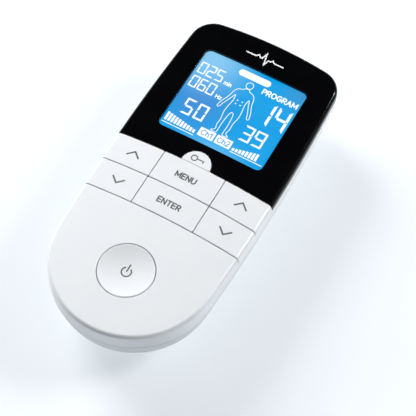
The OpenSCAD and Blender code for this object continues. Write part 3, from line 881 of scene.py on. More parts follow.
def glow(m, spot, reach):
    """1 at a spot of the display, falling to 0 at a distance; millimetres from the window's middle."""
    place = [(WINDOW_MID[0] + spot[0]) * MM, (WINDOW_MID[1] + spot[1]) * MM, GLASS_TOP * MM]
    far = m.node("ShaderNodeVectorMath", {0: m.space, 1: place}, operation="DISTANCE")
    return m.ranged(far.outputs["Value"], 1, 0, 0, reach * MM, interpolation_type="SMOOTHSTEP")


def backlight_colour(m):
    """Cyan-blue field that is paler at the upper left and along the lower edge."""
    colour = m.clouded(9, linear(0, 158, 230), linear(14, 164, 234), 2)
    colour = m.mixed(glow(m, (-13, -2), 19), colour, linear(62, 142, 216))
    colour = m.mixed(glow(m, (-17, 17), 22), colour, linear(138, 203, 244))
    colour = m.mixed(glow(m, (2, -27), 19), colour, linear(118, 200, 250))
    return m.mixed(glow(m, (22, 20), 15), colour, linear(60, 150, 210))


def segment_colour(m):
    return m.clouded(2.5, linear(255, 255, 255), linear(232, 245, 255), 2)


def label_colour(m):
    return m.clouded(1, linear(84, 158, 216), linear(96, 168, 222))


WHITE = plastic("white_plastic", (0.81, 0.825, 0.84), (0.79, 0.805, 0.825))
KEY_WHITE = plastic("key_plastic", (0.81, 0.825, 0.84), (0.79, 0.805, 0.825), (0.26, 0.34), 0.3)
# Painted shade: the back parts are the same white plastic as the front, coloured darker and bluer to stand
# for the shade on the lower walls.
SHADED_BACK_WHITE = plastic("back_plastic_painted_shade", (0.69, 0.715, 0.745), (0.655, 0.685, 0.715), (0.34, 0.45), 0.35)
BLACK = piano_black()
CLEAR = clear_window()
LCD = lit("lcd_field", 1.0, backlight_colour)
SEGMENTS = lit("lcd_segments_white", 1.15, segment_colour)
KEY_INK = ink("grey_ink", (0.1, 0.105, 0.11), (0.13, 0.135, 0.14))
WHITE_INK = ink("white_ink", (0.85, 0.86, 0.88), (0.78, 0.8, 0.82), 0.3)
BLUE_INK = lit("lcd_blue", 1.0, label_colour)
NICKEL = metal("nickel", (0.72, 0.71, 0.69), (0.55, 0.54, 0.52), (0.18, 0.32), (1, 6, 1))
STEEL = metal("zinc_steel", (0.6, 0.61, 0.63), (0.42, 0.43, 0.45), (0.25, 0.45), size=0.8)
BRASS = metal("brass", (0.75, 0.56, 0.25), (0.6, 0.42, 0.18), (0.2, 0.35), (6, 1, 1), 0.6)
CELL_METAL = metal("cell_steel", (0.66, 0.66, 0.66), (0.5, 0.5, 0.51), (0.22, 0.35), (1, 4, 1), 1.5)
CELL_WRAP = plastic("cell_wrap", (0.085, 0.09, 0.1), (0.06, 0.064, 0.072), (0.22, 0.32), 0.8, coat=0.3)
CELL_BAND = metal("cell_band", (0.72, 0.45, 0.2), (0.6, 0.36, 0.15), (0.25, 0.35), (1, 5, 1), 1.2)
DARK = plastic("dark_plastic", (0.035, 0.036, 0.04), (0.02, 0.021, 0.024), (0.4, 0.55), 0.4)

# ------------------------------------------------------------------ keys and face


def row_line(k, x):
    """Line k between the key rows. It is level where it turns down the side."""
    return ROW_Y - ROW_H * k - ROW_SAG * (2 * np.minimum(np.abs(x), CASE_W / 2) / CASE_W) ** 2


def side_x(y, z):
    """Plan x of the right side at y and height z."""
    reach = SIDE_R - FACE.base + FACE.reach_at(CASE_W / 2, z)
    return SIDE_C + math.sqrt(reach**2 - (y - SIDE_MID) ** 2)


def row_points(k, x0, x1, off):
    """Plan points along line k from x0 to x1, moved by off in y."""
    x = np.linspace(x0, x1, math.ceil(abs(x1 - x0)) + 1)
    return np.column_stack([x, row_line(k, x) + off])


def key_loop(k, column):
    """Plan outline of a key in row k; column is -1, 0 or 1."""
    skirt = RIM_Z + 0.3
    half = KEY_GAP / 2
    if column == 0:
        a = KEY_X - half
        loop = np.concatenate([row_points(k + 1, -a, a, half), row_points(k, a, -a, -half)])
    else:
        a = KEY_X + half
        low_y, high_y = row_line(k + 1, CASE_W / 2) + half, row_line(k, CASE_W / 2) - half
        low_x, high_x = side_x(low_y, skirt), side_x(high_y, skirt)
        loop = np.concatenate([
            row_points(k + 1, a, low_x, half), FACE.edge(RIGHT, skirt, low_y, high_y),
            row_points(k, high_x, a, -half)])
        if column < 0:
            loop = (loop * [-1, 1])[::-1]
    return rounded(loop, CORNER_SOFT)


# The keys of the two rows by row and column, and the places of all the keys' stems.
KEYS = {(0, 0): "key_menu", (1, 0): "key_enter", (0, -1): "key_ch1_up", (1, -1): "key_ch1_down",
        (0, 1): "key_ch2_up", (1, 1): "key_ch2_down"}
STEMS = {name: (column * STEM_X, row_line(k, 0) - ROW_H / 2 - 0.4) for (k, column), name in KEYS.items()}
STEMS["key_lock"] = (0, LOCK_STEM_Y)


def key(name, loop, soft):
    """A key's cap under the face and the stem that pushes its snap dome."""
    cap = plate(FACE, [loop], KEY_T, soft)
    profile = [(0, 0), (STEM_R - 0.2, 0), (STEM_R, 0.2), (STEM_R, 3.4), (0, 3.4)]
    stem = lathe((*STEMS[name], corners("key_menu")[0][2]), (0, 0, 1), profile)
    make(f"{name}_cap", [cap, stem], KEY_WHITE, name, [name])


def keys():
    for (k, column), name in KEYS.items():
        key(name, key_loop(k, column), SOFT)
    reach = 0.05                   # the lock key comes close to the key below it
    a = math.sqrt(LOCK_R**2 - reach**2)
    loop = np.concatenate([row_points(0, -a, a, -reach), arc_points((0, ROW_Y), LOCK_R, 0, 180)])
    key("key_lock", rounded(loop, 0.2), 0.14)


BUTTON_MID = sum(corners("power_button")) / 2
BUTTON = Dish(BUTTON_MID[:2], BUTTON_R)


def power_button():
    """The dished cap and the flange that keeps it under the face."""
    cap = plate(BUTTON, [circle((0, 0), BUTTON_R)], 2.2, 0.25)
    foot_r, stop_r = 11.2, 9.6
    foot = lathe((*BUTTON_MID[:2], FACE_Z - 3.6), (0, 0, 1),
                 [(0, 0), (foot_r, 0), (foot_r, 0.7), (stop_r, 0.75), (stop_r, 1.3), (0, 1.3)])
    make("power_button_cap", [cap, foot], KEY_WHITE, "power_button", ["power_button"])


SOCKET_LOW, SOCKET_HIGH = corners("output_socket_ch2")
SOCKET_X, SOCKET_Z = (SOCKET_LOW[0] + SOCKET_HIGH[0]) / 2, (SOCKET_LOW[2] + SOCKET_HIGH[2]) / 2
SOCKET_HOLE = 3.35                 # radius of the holes in the end wall
SOCKET_DEPTH = 12.0                # length of a socket's bore
BORE_R = 1.3


def socket_notch(skin, x, z_edge, over):
    """Plan points round a socket's hole where it cuts the edge of a housing."""
    a0 = math.asin((z_edge - SOCKET_Z) / SOCKET_HOLE)
    u = around(np.linspace(a0, math.pi - a0, 12) if over else np.linspace(a0, -math.pi - a0, 28))
    return skin.on_end(x + SOCKET_HOLE * u[:, 0], SOCKET_Z + SOCKET_HOLE * u[:, 1], TOP)


def notched_end(skin, z, over):
    """The display end's edge at height z, from right to left, with both socket holes let into it."""
    half = math.sqrt(SOCKET_HOLE**2 - (z - SOCKET_Z) ** 2)
    edge_x = -skin.edge(LEFT_CORNER, z)[0][0]
    clear = 0.6                    # kept between the notches and the points beside them
    out = []
    right = edge_x - 1
    for x in (SOCKET_X, -SOCKET_X):
        out.append(skin.on_end(np.arange(right - clear, x + half + 0.4, -1.0), z, TOP))
        out.append(socket_notch(skin, x, z, over))
        right = x - half
    out.append(skin.on_end(np.arange(right - clear, 1 + clear - edge_x, -1.0), z, TOP))
    return np.concatenate(out)


def housing_rim(skin, z, over):
    """A housing's whole edge at height z, counterclockwise in plan."""
    return np.concatenate([
        skin.edge(RIGHT, z), skin.edge(RIGHT_CORNER, z), notched_end(skin, z, over),
        skin.edge(LEFT_CORNER, z), skin.edge(LEFT, z), skin.edge(TAIL, z)])


def upper_edge(y, z):
    """Plan points at height z round the display end, from the right side at y to the left at y."""
    return np.concatenate([
        FACE.edge(RIGHT, z, start=y), FACE.edge(RIGHT_CORNER, z), FACE.edge(TOP, z),
        FACE.edge(LEFT_CORNER, z), FACE.edge(LEFT, z, stop=y)])


def upper_opening(z):
    """The opening for keys and panel, bounded by line 2 and by the rim at height z."""
    off = -KEY_GAP / 2
    y = row_line(2, CASE_W / 2) + off
    x = side_x(y, z)
    return np.concatenate([row_points(2, -x, x, off), upper_edge(y, z)])


def inset_outline(d, low_y=-200.0, high_y=200.0):
    """The case's outline drawn in by d, between two lines across it, counterclockwise."""
    points = []
    for cx, cy, r, a0, a1 in ARCS:
        n = max(3, math.ceil((a1 - a0) * r / 1.5))
        points.append(np.array([cx, cy]) + (r - d) * around(np.linspace(a0, a1, n, endpoint=False)))
    points = np.concatenate(points)
    kept = points[(points[:, 1] > low_y) & (points[:, 1] < high_y)]
    if len(kept) == len(points):
        return points
    side = np.interp([low_y, high_y], *np.array(sorted([p[1], p[0]] for p in kept if p[0] > 15)).T)
    right = sorted((p for p in kept if p[0] > 0), key=lambda p: p[1])
    right = np.array([[side[0], low_y], *right, [side[1], high_y]])
    return np.concatenate([right, (right * [-1, 1])[::-1]])


def front_housing():
    outer = rounded(housing_rim(FACE, PARTING_Z + SEAM, True), CORNER_SOFT)
    opening = rounded(upper_opening(RIM_Z), CORNER_SOFT)[::-1]
    hole = circle(BUTTON_MID[:2], BUTTON_R + KEY_GAP)[::-1]
    shell = plate(FACE, [outer, opening, hole], SKIN_T, SOFT)
    # Deck that guides the keys, with a hole for each stem.
    low_y, high_y = row_line(2, 0) - 2.3, 11.4
    stem_holes = [circle(place, STEM_R + 0.35)[::-1] for place in STEMS.values()]
    deck = plate(Plane((0, 0, BACK_Z + 17.6)), [resampled(inset_outline(3, low_y, high_y)), *stem_holes],
                 1.2, 0.15, steps=2)
    # Inner rim that the panel and the outer keys stand round.
    rim = plate(Plane((0, 0, BACK_Z + 18)), [inset_outline(2.3), inset_outline(3.6)[::-1]], 2.6, 0.2, steps=2)
    # Wall from the face to the deck just below the keys.
    wall_half, wall_t = 27.5, 1.2
    wall = block((-wall_half, low_y, BACK_Z + 17.4), (wall_half, low_y + wall_t, FACE_Z - 1.5))
    make("front_housing_shell", [shell, deck, rim, wall], WHITE, "case", ["front_housing"])


def window_loop(grow, r):
    """Plan outline of the window, grown by some amount, with corners of radius r."""
    low, high = WINDOW_LOW - grow, WINDOW_HIGH + grow
    return rounded(rectangle(low[0], low[1], high[0], high[1]), r, 1)


def display_panel():
    z = RIM_Z + 0.05
    off = KEY_GAP / 2
    y = row_line(0, CASE_W / 2) + off
    x = side_x(y, z)
    notch_r = LOCK_R + KEY_GAP
    a = math.degrees(math.asin(off / notch_r))
    start = notch_r * math.cos(math.radians(a))
    outer = np.concatenate([
        row_points(0, -x, -start, off), arc_points((0, ROW_Y), notch_r, 180 - a, a),
        row_points(0, start, x, off), upper_edge(y, z)])
    window = window_loop(0.03, 2.2)[::-1]
    panel = plate(FACE, [rounded(outer, CORNER_SOFT), window], PANEL_T, 0.18)
    make("display_panel_cover", [panel], BLACK, "case", ["display_panel"])


def display_window():
    lens = plate(FACE, [window_loop(0, 2.17)], 0.6, 0.05, steps=2)
    make("display_window_lens", [lens], CLEAR, "case", ["display_window"])


keys()
power_button()
front_housing()
display_panel()
display_window()

# ------------------------------------------------------------------ printed legends


WORD_SPACE = 0.3                   # space between the letters on the keys, in letter heights


def legends():
    arrows = {"key_ch1_up": (-21.3, -0.9, 1), "key_ch1_down": (-20.9, -12.9, -1),
              "key_ch2_up": (21.9, -0.4, 1), "key_ch2_down": (21.7, -12.4, -1)}
    for name, (x, y, up) in arrows.items():
        arrow = [[x - 2.3, y - up], [x, y + up * 1.1], [x + 2.3, y - up]]
        make(f"{name}_arrow", inked(FACE, [arrow], 0.6), KEY_INK, name)
    for name, word, y in (("key_menu", "MENU", -0.5), ("key_enter", "ENTER", -12.4)):
        lines = word_lines(word, 2.05, (-0.3, y), WORD_SPACE)
        make(f"{name}_legend", inked(FACE, lines, 0.5), KEY_INK, name)
    ring = circle((-1.7, 8.05), 1.1, 0.3)
    lock = inked(FACE, [ring], 0.42, closed=True)
    lock += inked(FACE, [[[-0.55, 8.1], [1.9, 8.2], [1.9, 7.4]]], 0.42)
    make("key_lock_symbol", lock, KEY_INK, "key_lock")
    ring = np.array(bow(0.0, 0.05, 1.75, 1.75, 128, 412))
    power = inked(BUTTON, [ring, [[0.0, 0.25], [0.0, 2.95]]], 0.5)
    make("power_symbol", power, KEY_INK, "power_button")
    beat = [(-7.5, 0), (-3.6, 0), (-2.7, 0.9), (-1.8, 0), (-1.1, 0), (-0.3, 2.4), (0.7, -2.3), (1.5, 0),
            (2.3, 0), (3.1, 0.8), (3.9, 0), (7.5, 0)]
    make("pulse_symbol", inked(FACE, [np.array(beat) + [0, 57.6]], 0.55), WHITE_INK, "case")


legends()

# ------------------------------------------------------------------ display


def finish(name, material):
    """Gives a CAD node that stays visible a material."""
    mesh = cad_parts[name].data
    mesh.materials.clear()
    mesh.materials.append(material)


BAR_GAP = 0.05                     # gap between the bars of a digit
DIGIT_BARS = {"0": "top ul ur ll lr low", "1": "ur lr", "2": "top ur mid ll low",
              "3": "top ur mid lr low", "4": "ul ur mid lr", "5": "top ul mid lr low",
              "6": "top ul mid ll lr low", "9": "top ul ur mid lr low"}


def counterclockwise(loop):
    x, y = loop.T
    return loop if np.sum(x * np.roll(y, -1) - y * np.roll(x, -1)) > 0 else loop[::-1]


def lcd_digit(x, y, w, h, t, digit):
    """Outlines of the bars of a seven-segment digit; x and y are its lower left, t a bar's width."""
    w, h = w - t, h - t
    # Each bar has two ends, the side that faces out, and whether each end meets a corner.
    bars = {"top": [(0, h), (w, h), 1, (1, 1)], "low": [(0, 0), (w, 0), -1, (1, 1)],
            "mid": [(0, h / 2), (w, h / 2), 0, (0, 0)],
            "ul": [(0, h / 2), (0, h), 1, (0, 1)], "ur": [(w, h / 2), (w, h), -1, (0, 1)],
            "ll": [(0, 0), (0, h / 2), 1, (1, 0)], "lr": [(w, 0), (w, h / 2), -1, (1, 0)]}
    out = []
    for name in DIGIT_BARS[digit].split():
        a, b, side, meets = bars[name]
        a, b = np.array(a, float), np.array(b, float)
        u = unit(b - a)
        v = np.array([-u[1], u[0]]) * t / 2
        inner = t / 2 + BAR_GAP
        if side == 0:
            loop = [a + u * BAR_GAP, a + u * inner - v, b - u * inner - v, b - u * BAR_GAP,
                    b - u * inner + v, a + u * inner + v]
        else:
            first = a - u * (meets[0] * t / 2 - BAR_GAP) + side * v
            last = b + u * (meets[1] * t / 2 - BAR_GAP) + side * v
            loop = [first, a + u * inner - side * v, b - u * inner - side * v, last]
        out.append(counterclockwise(np.array(loop)) + [x + t / 2, y + t / 2])
    return out


def smooth(points, steps=6):
    """A closed smooth curve through some points."""
    p = np.array(points, float)
    n = len(p)
    out = []
    for k in range(n):
        a, b, c, d = p[k - 1], p[k], p[(k + 1) % n], p[(k + 2) % n]
        for t in np.arange(steps) / steps:
            out.append(0.5 * (2 * b + (c - a) * t + (2 * a - 5 * b + 4 * c - d) * t**2
                              + (3 * b - a - 3 * c + d) * t**3))
    return np.array(out)


def figure():
    """Outlines of a plain standing figure with four pads, as on any such display."""
    middle = 0.3
    half = [(0.75, 43.9), (1.3, 43.2), (3.1, 42.5), (4.1, 40.9), (4.7, 38.2), (5.9, 35.2), (6.5, 32.6),
            (5.7, 32.4), (5.0, 34.4), (3.7, 37.6), (2.8, 39.8), (2.4, 37.2), (2.8, 34.4), (3.0, 31.4),
            (2.5, 28.0), (2.6, 25.4), (2.2, 23.4), (3.4, 22.3), (2.2, 22.0), (1.2, 22.3), (1.2, 25.4),
            (1.1, 28.2), (0.6, 31.8)]
    right = np.array(half)
    body = np.concatenate([right, (right * [-1, 1])[::-1]])[::-1] + [middle, 0]
    head = circle((middle, 45.6), 1.45, 0.4) * [0.95, 1] + [middle * 0.05, 0]
    pads = [circle((middle + sx * 0.95, 37.2 + sy * 0.8), 0.27, 0.12) for sx in (-1, 1) for sy in (-1, 1)]
    return [stroke(smooth(body), 0.26, closed=True), stroke(head, 0.26, closed=True), *pads]


def flat_pieces(surface, loops):
    """Thin flat pieces, one for each outline or list of outlines."""
    groups = [loop if isinstance(loop, list) else [loop] for loop in loops]
    return [plate(surface, group, PRINT_H, 0.006, steps=1, fine=False) for group in groups]


def bars(x, base, tops, pitch=1.28, w=0.9):
    """A row of bars from x on that stand on one level."""
    return [rectangle(x + k * pitch, base, x + k * pitch + w, top) for k, top in enumerate(tops)]


# Each number of the display: its digits, lower left, spacing, and a digit's width, height and bar.
NUMBERS = [("025", -20.0, 41.6, 3.55, 3.0, 5.25, 0.52), ("060", -20.0, 34.9, 3.55, 3.0, 5.25, 0.52),
           ("50", -16.75, 23.3, 5.2, 3.95, 7.0, 0.75), ("39", 7.3, 23.45, 4.9, 4.1, 6.85, 0.75),
           ("14", 8.3, 32.9, 6.3, 5.2, 10.1, 1.05)]
# Each word of the display: its letters, their height, the word's middle and the width of its lines.
WORDS = [("PROGRAM", 2.1, (12.6, 45.95), 0.48), ("min", 1.5, (-7.2, 42.5), 0.36),
         ("Hz", 1.5, (-7.4, 35.8), 0.36)]
# Each plain mark: its rectangle and the radius of its corners.
MARKS = [((-20.4, 16.85, -7.4, 17.15), 0), ((7.3, 17.4, 20.1, 17.7), 0),
         ((-6.5, 17.95, -0.3, 21.65), 0.2), ((0.35, 17.95, 6.65, 21.65), 0.2), ((-6.2, 48.2, 6.8, 51.0), 1.3)]


def display():
    """The lit segments on the glass, the words among them and the channel labels on their fields."""
    plane = Plane((0, 0, GLASS_TOP + 0.04))
    marks = figure()
    for digits, x, y, pitch, w, h, t in NUMBERS:
        for k, digit in enumerate(digits):
            marks += lcd_digit(x + pitch * k, y, w, h, t, digit)
    marks += bars(-20.1, 17.9, [21.6 - 0.25 * k for k in range(10)])
    marks += bars(7.5, 18.25, [19.3 + 0.3 * k for k in range(8)])
    for box, r in MARKS:
        marks.append(rounded(rectangle(*box), r, 1) if r else rectangle(*box))
    solids = flat_pieces(plane, marks)
    for word, height, place, width in WORDS:
        solids += inked(plane, word_lines(word, height, place, 0.27), width, lift=0)
    make("lcd_segments", solids, SEGMENTS, "case")
    labels = [piece for word, x in (("Ch1", -3.4), ("Ch2", 3.5))
              for piece in inked(plane, word_lines(word, 2.1, (x, 19.8)), 0.36, lift=0.02)]
    make("lcd_channel_labels", labels, BLUE_INK, "case")
    finish("lcd_glass", LCD)


display()

# ------------------------------------------------------------------ back housing, cover and clip

SLOT_X, SLOT_Y = 17.65, 5.15       # half the width of the cover's opening, and its upper end
COVER_TOP = BACK_Z + 8.0
COVER_GAP = 0.15
SCREWS = [(21.6, 58.8), (-21.6, 58.8), (21.9, -30.3), (-21.9, -30.3)]


def tail_loop(half_x, high_y, top_z):
    """Plan outline of the cover's place: across the back, round the tail and up its wall."""
    z = np.linspace(BACK_Z + 0.01, top_z, 18)
    right = BACK.on_end(np.full(len(z), half_x), z, TAIL)
    y = np.arange(high_y, right[0][1] + 1, -2.0)
    down = np.column_stack([np.full(len(y), -half_x), y])
    left = right * [-1, 1]
    x = np.arange(-half_x + 1, half_x - 0.5, 1.0)
    across = BACK.on_end(x, top_z, TAIL)
    up = np.column_stack([np.full(len(y), half_x), y])[::-1]
    return np.concatenate([down, left, across, right[::-1], up])


def back_housing():
    """The back shell with the cover's opening, and a tube for each screw."""
    outer = rounded(housing_rim(BACK, PARTING_Z, False), CORNER_SOFT)
    opening = rounded(tail_loop(SLOT_X, SLOT_Y, COVER_TOP + COVER_GAP), 0.35)[::-1]
    wells = [BACK.unroll(circle(p, 2.5, 0.4))[::-1] for p in SCREWS]
    solids = [plate(BACK, [outer, opening, *wells], BACK_T, SOFT)]
    well_r, shank_r, tube_r, foot, seat, top = 2.45, 1.25, 3.2, 1.2, 4.0, 12.6
    tube = [(well_r, foot), (tube_r, foot), (tube_r, top), (shank_r, top), (shank_r, seat), (well_r, seat)]
    solids += [lathe((*p, BACK_Z), (0, 0, 1), tube, closed=True, turns=40) for p in SCREWS]
    make("back_housing_shell", solids, SHADED_BACK_WHITE, "case", ["back_housing"])
    bay()


def bay():
    """Battery bay behind the cover, with walls, a ceiling and ribs between the cells."""
    cell_low, cell_high = corners("cell_1", "cell_2", "cell_3")
    bay_x, top = SLOT_X - 1.45, BACK_Z + 12.4
    low_y, high_y = (corner[1] for corner in corners("contact_plates"))
    wall = 1.2
    solids = [block((-SLOT_X - 0.9, low_y - 10, top), (SLOT_X + 0.9, high_y + wall, top + 1.0))]
    for s in (-1, 1):
        a, b = sorted((s * bay_x, s * (SLOT_X + 0.95)))
        solids.append(block((a, low_y - wall, BACK_Z + 2.6), (b, high_y + wall, top + 0.2), 0.2))
    for y in (low_y - wall, high_y):
        solids.append(block((-bay_x - 0.6, y, BACK_Z + 2.9), (bay_x + 0.6, y + wall, top + 0.2), 0.2))
    pitch = (cell_high[0] - cell_low[0]) / 3
    rib_t, rib_half = 0.9, 3
    for x in (-pitch / 2, pitch / 2):
        for y in (-38, -22.5, -7):
            solids.append(block((x - rib_t / 2, y - rib_half, top - 2.2),
                                (x + rib_t / 2, y + rib_half, top + 0.2), 0.15))
    make("battery_bay", solids, SHADED_BACK_WHITE, "case")


def battery_cover():
    """The cover with its two catches and five grip ridges."""
    loop = rounded(tail_loop(SLOT_X - COVER_GAP, SLOT_Y - COVER_GAP, COVER_TOP), 0.5)
    solids = [plate(BACK, [loop], 1.6, SOFT)]
    catch_x, catch_half = 5.35, 1.5
    for x in (-catch_x, catch_x):
        a, b = x - catch_half, x + catch_half
        solids.append(block((a, 0.6, BACK_Z + 1.4), (b, SLOT_Y - 0.3, BACK_Z + 2.65), 0.15))
        solids.append(block((a, 1.1, BACK_Z + 1.95), (b, SLOT_Y + 1.7, BACK_Z + 2.68), 0.15))
    ridge_half, ridge_w, ridge_pitch = 7, 0.8, 2
    for k in range(5):
        y = -44 + ridge_pitch * k
        solids.append(block((-ridge_half, y, BACK_Z - 0.3), (ridge_half, y + ridge_w, BACK_Z + 0.2), 0.2))
    make("battery_cover_shell", solids, SHADED_BACK_WHITE, "battery_cover", ["battery_cover"])


back_housing()
battery_cover()


class ClipStrip(Surface):
    """The outside of the clip, rolled out: x across, y along the arm, round the bend and back."""
    sign = -1

    def __init__(self, low, high, bend_y):
        self.r = (high[2] - low[2]) / 2
        self.bend_y = bend_y

    def place(self, q):
        s = q[:, 1] - self.bend_y
        a = np.clip(s / self.r, 0, math.pi)
        past = np.maximum(s - self.r * math.pi, 0)
        y = np.where(s < 0, q[:, 1], self.bend_y + self.r * np.sin(a) - past)
        return np.column_stack([q[:, 0], y, self.r * (1 - np.cos(a))])

    def grid(self, low, high):
        s = np.arange(self.bend_y - 1, self.bend_y + self.r * math.pi + 1, 0.6)
        return np.array([[x, y] for y in s for x in np.arange(low[0] + 1, high[0], 2.4)])


def belt_clip():
    """The clip bent from one strip, the nub across its tip, and the rails that it slides on."""
    low, high = corners("belt_clip")
    bend_y, upper_end = 30.0, 8.9
    strip = ClipStrip(low, high, bend_y)
    half = high[0]
    end = bend_y + strip.r * math.pi + (bend_y - upper_end)
    r = 5
    loop = rounded(np.concatenate([
        arc_points((-half + r, low[1] + r), r, 180, 270), arc_points((half - r, low[1] + r), r, 270, 360),
        [[half, end], [-half, end]]]), 0.6)
    solids = [plate(strip, [resampled(loop, 0.8)], 1.42, 0.4, 0.4)]
    nub = rounded(np.array([[-19.6, 1.2], [-15.0, 1.2], [-16.9, 2.95], [-18.4, 2.95]]), 0.35, 1)
    side = half - 1.2
    solids.append(plate(Plane((side, 0, 0), (0, 1, 0), (0, 0, 1)), [nub], 2 * side, 0.25, 0.25, steps=3))
    make("belt_clip_strip", solids, SHADED_BACK_WHITE, "belt_clip", ["belt_clip"])
    rails = []
    rail_y, rail_top = 6.85, BACK_Z + 0.4
    for s in (-1, 1):
        for a, b, z0, z1 in ((12.35, 13.7, 6.1, rail_top), (11.0, 13.6, 6.1, 6.8)):
            x0, x1 = sorted((s * a, s * b))
            rails.append(block((x0, rail_y, z0), (x1, 26, z1), 0.2))
    rails.append(block((-13, rail_y, 6.9), (13, 8.7, rail_top), 0.25))
    make("belt_clip_rails", rails, SHADED_BACK_WHITE, "case")


belt_clip()

# ------------------------------------------------------------------ sockets, cells and springs


def pipe(inner, outer, low, high):
    """Profile of a plain pipe between two heights."""
    return [(inner, low), (outer, low), (outer, high), (inner, high)]


def sockets():
    """Two lead sockets, each a block with a round nose, a bore and a brass sleeve in it."""
    end, length, nose_r = SOCKET_HIGH[1], SOCKET_DEPTH, 3.1
    nose = [(BORE_R, 0), (nose_r, 0), (nose_r, length - 0.25), (nose_r - 0.25, length), (1.75, length),
            (BORE_R, length - 0.45)]
    for name in ("output_socket_ch1", "output_socket_ch2"):
        low, high = corners(name)
        x = (low[0] + high[0]) / 2
        solids = [lathe((x, end - length, SOCKET_Z), (0, 1, 0), nose, closed=True),
                  block((x - 4, low[1], SOCKET_Z - 3.2), (x + 4, end - 3.7, SOCKET_Z + 3.2), 0.3)]
        make(f"{name}_body", solids, DARK, "case", [name])
        sleeve = lathe((x, end - length + 0.1, SOCKET_Z), (0, 1, 0), pipe(1.12, BORE_R - 0.01, 0, 9.2),
                       closed=True, turns=40)
        make(f"{name}_contact", [sleeve], BRASS, "case")


CELL_R = 5.15
NUB_R, NUB_L = 1.9, 1.0
FLAT_R = 4.3                       # flat rings at both ends of a cell's can


def way_of(k):
    """1 where cell k's nub points at the display end, -1 where it points at the tail."""
    return 1 if k % 2 else -1


def cells():
    """Three AAA cells, each with a metal can, a printed sleeve and a band round its nub's end."""
    for k in (1, 2, 3):
        low, high = corners(f"cell_{k}")
        way = way_of(k)
        start = low[1] if way > 0 else high[1]
        middle = ((low[0] + high[0]) / 2, start, (low[2] + high[2]) / 2)
        r, top = CELL_R - 0.08, high[1] - low[1] - NUB_L
        tip = top + NUB_L
        can = [(0, 0), (3.4, 0), (3.6, 0.15), (FLAT_R, 0.15), (r - 0.35, 0.25), (r, 0.6), (r, top - 0.6),
               (r - 0.35, top - 0.25), (FLAT_R, top - 0.12), (2.9, top - 0.12), (NUB_R + 0.25, top),
               (NUB_R, top + 0.1), (NUB_R, tip - 0.25), (NUB_R - 0.25, tip), (0, tip)]
        sleeve = [(r - 0.03, 0.75), (CELL_R - 0.03, 0.75), (CELL_R, 0.8), (CELL_R, top - 0.4),
                  (CELL_R - 0.25, top - 0.1), (4.0, top - 0.05), (4.0, top - 0.11), (r - 0.03, top - 0.5)]
        band = pipe(CELL_R - 0.04, CELL_R + 0.02, top - 11, top - 1.2)
        parts = {"can": (can, False, 48, CELL_METAL, [f"cell_{k}"]),
                 "sleeve": (sleeve, True, 64, CELL_WRAP, ()), "band": (band, True, 64, CELL_BAND, ())}
        for part, (profile, closed, turns, material, replaced) in parts.items():
            solid = lathe(middle, (0, way, 0), profile, closed, turns)
            make(f"cell_{k}_{part}", [solid], material, "case", replaced)


SPRING_TURNS = 3
SPRING_WIRE_R = 0.28
SPRING_R, SPRING_TIP_R = 3.4, 2.2


def springs():
    """Conical springs that widen towards their plates at the cells' flat ends."""
    low, high = corners("battery_springs")
    for k in (1, 2, 3):
        cell_low, cell_high = corners(f"cell_{k}")
        way = way_of(k)
        base = low[1] if way > 0 else high[1]
        tip = cell_low[1] if way > 0 else cell_high[1]
        length = abs(tip - base) - 2 * SPRING_WIRE_R - 0.05
        x, z = (cell_low[0] + cell_high[0]) / 2, (cell_low[2] + cell_high[2]) / 2
        points = []
        for t in np.linspace(0, 1, SPRING_TURNS * 24 + 1):
            a = way * 2 * math.pi * SPRING_TURNS * t
            r = SPRING_R + (SPRING_TIP_R - SPRING_R) * t
            y = base + way * (SPRING_WIRE_R + t * length)
            points.append((x + r * math.cos(a), y, z + r * math.sin(a)))
        make(f"battery_spring_{k}", [swept(points, SPRING_WIRE_R)], NICKEL, "case",
             ["battery_springs"] if k == 1 else ())


sockets()
cells()
springs()

# ------------------------------------------------------------------ finishes of the CAD nodes that stay


def finish_nodes():
    board = plastic("solder_mask", (0.012, 0.09, 0.035), (0.008, 0.06, 0.024), (0.25, 0.4), 0.5)
    epoxy = plastic("chip_epoxy", (0.02, 0.02, 0.022), (0.012, 0.012, 0.014), (0.45, 0.6), 0.15)
    tan = plastic("ceramic", (0.42, 0.3, 0.17), (0.3, 0.2, 0.11), (0.4, 0.55), 0.1)
    ferrite = plastic("ferrite", (0.05, 0.048, 0.046), (0.03, 0.029, 0.028), (0.6, 0.75), 0.2)
    copper = metal("enamelled_copper", (0.72, 0.34, 0.12), (0.5, 0.2, 0.07), (0.25, 0.4), (1, 1, 30), 1.0)
    sleeve = plastic("shrink_sleeve", (0.02, 0.05, 0.14), (0.012, 0.03, 0.09), (0.25, 0.4), 0.6)
    rubber = plastic("zebra_rubber", (0.09, 0.09, 0.095), (0.04, 0.04, 0.045), (0.7, 0.85), 0.3)
    diffuser = plastic("light_guide", (0.85, 0.88, 0.9), (0.8, 0.84, 0.88), (0.2, 0.3), 0.4)
    bezel = plastic("bezel_plastic", (0.62, 0.63, 0.64), (0.55, 0.56, 0.58), (0.4, 0.5), 0.3)
    tape = plastic("foam_tape", (0.02, 0.02, 0.022), (0.012, 0.012, 0.014), (0.8, 0.95), 0.2)
    finishes = {
        "main_board": board, "controller_chip": epoxy, "chip_parts": tan, "transformer_cores": ferrite,
        "transformer_coils": copper, "capacitors": sleeve, "zebra_strips": rubber,
        "lcd_backlight": diffuser, "lcd_frame": bezel, "window_tape": tape, "dome_switches": NICKEL,
        "crystal": NICKEL, "contact_plates": NICKEL, "housing_screws": STEEL, "board_screws": STEEL}
    for name, material in finishes.items():
        finish(name, material)


finish_nodes()

# ------------------------------------------------------------------ floor, light and camera


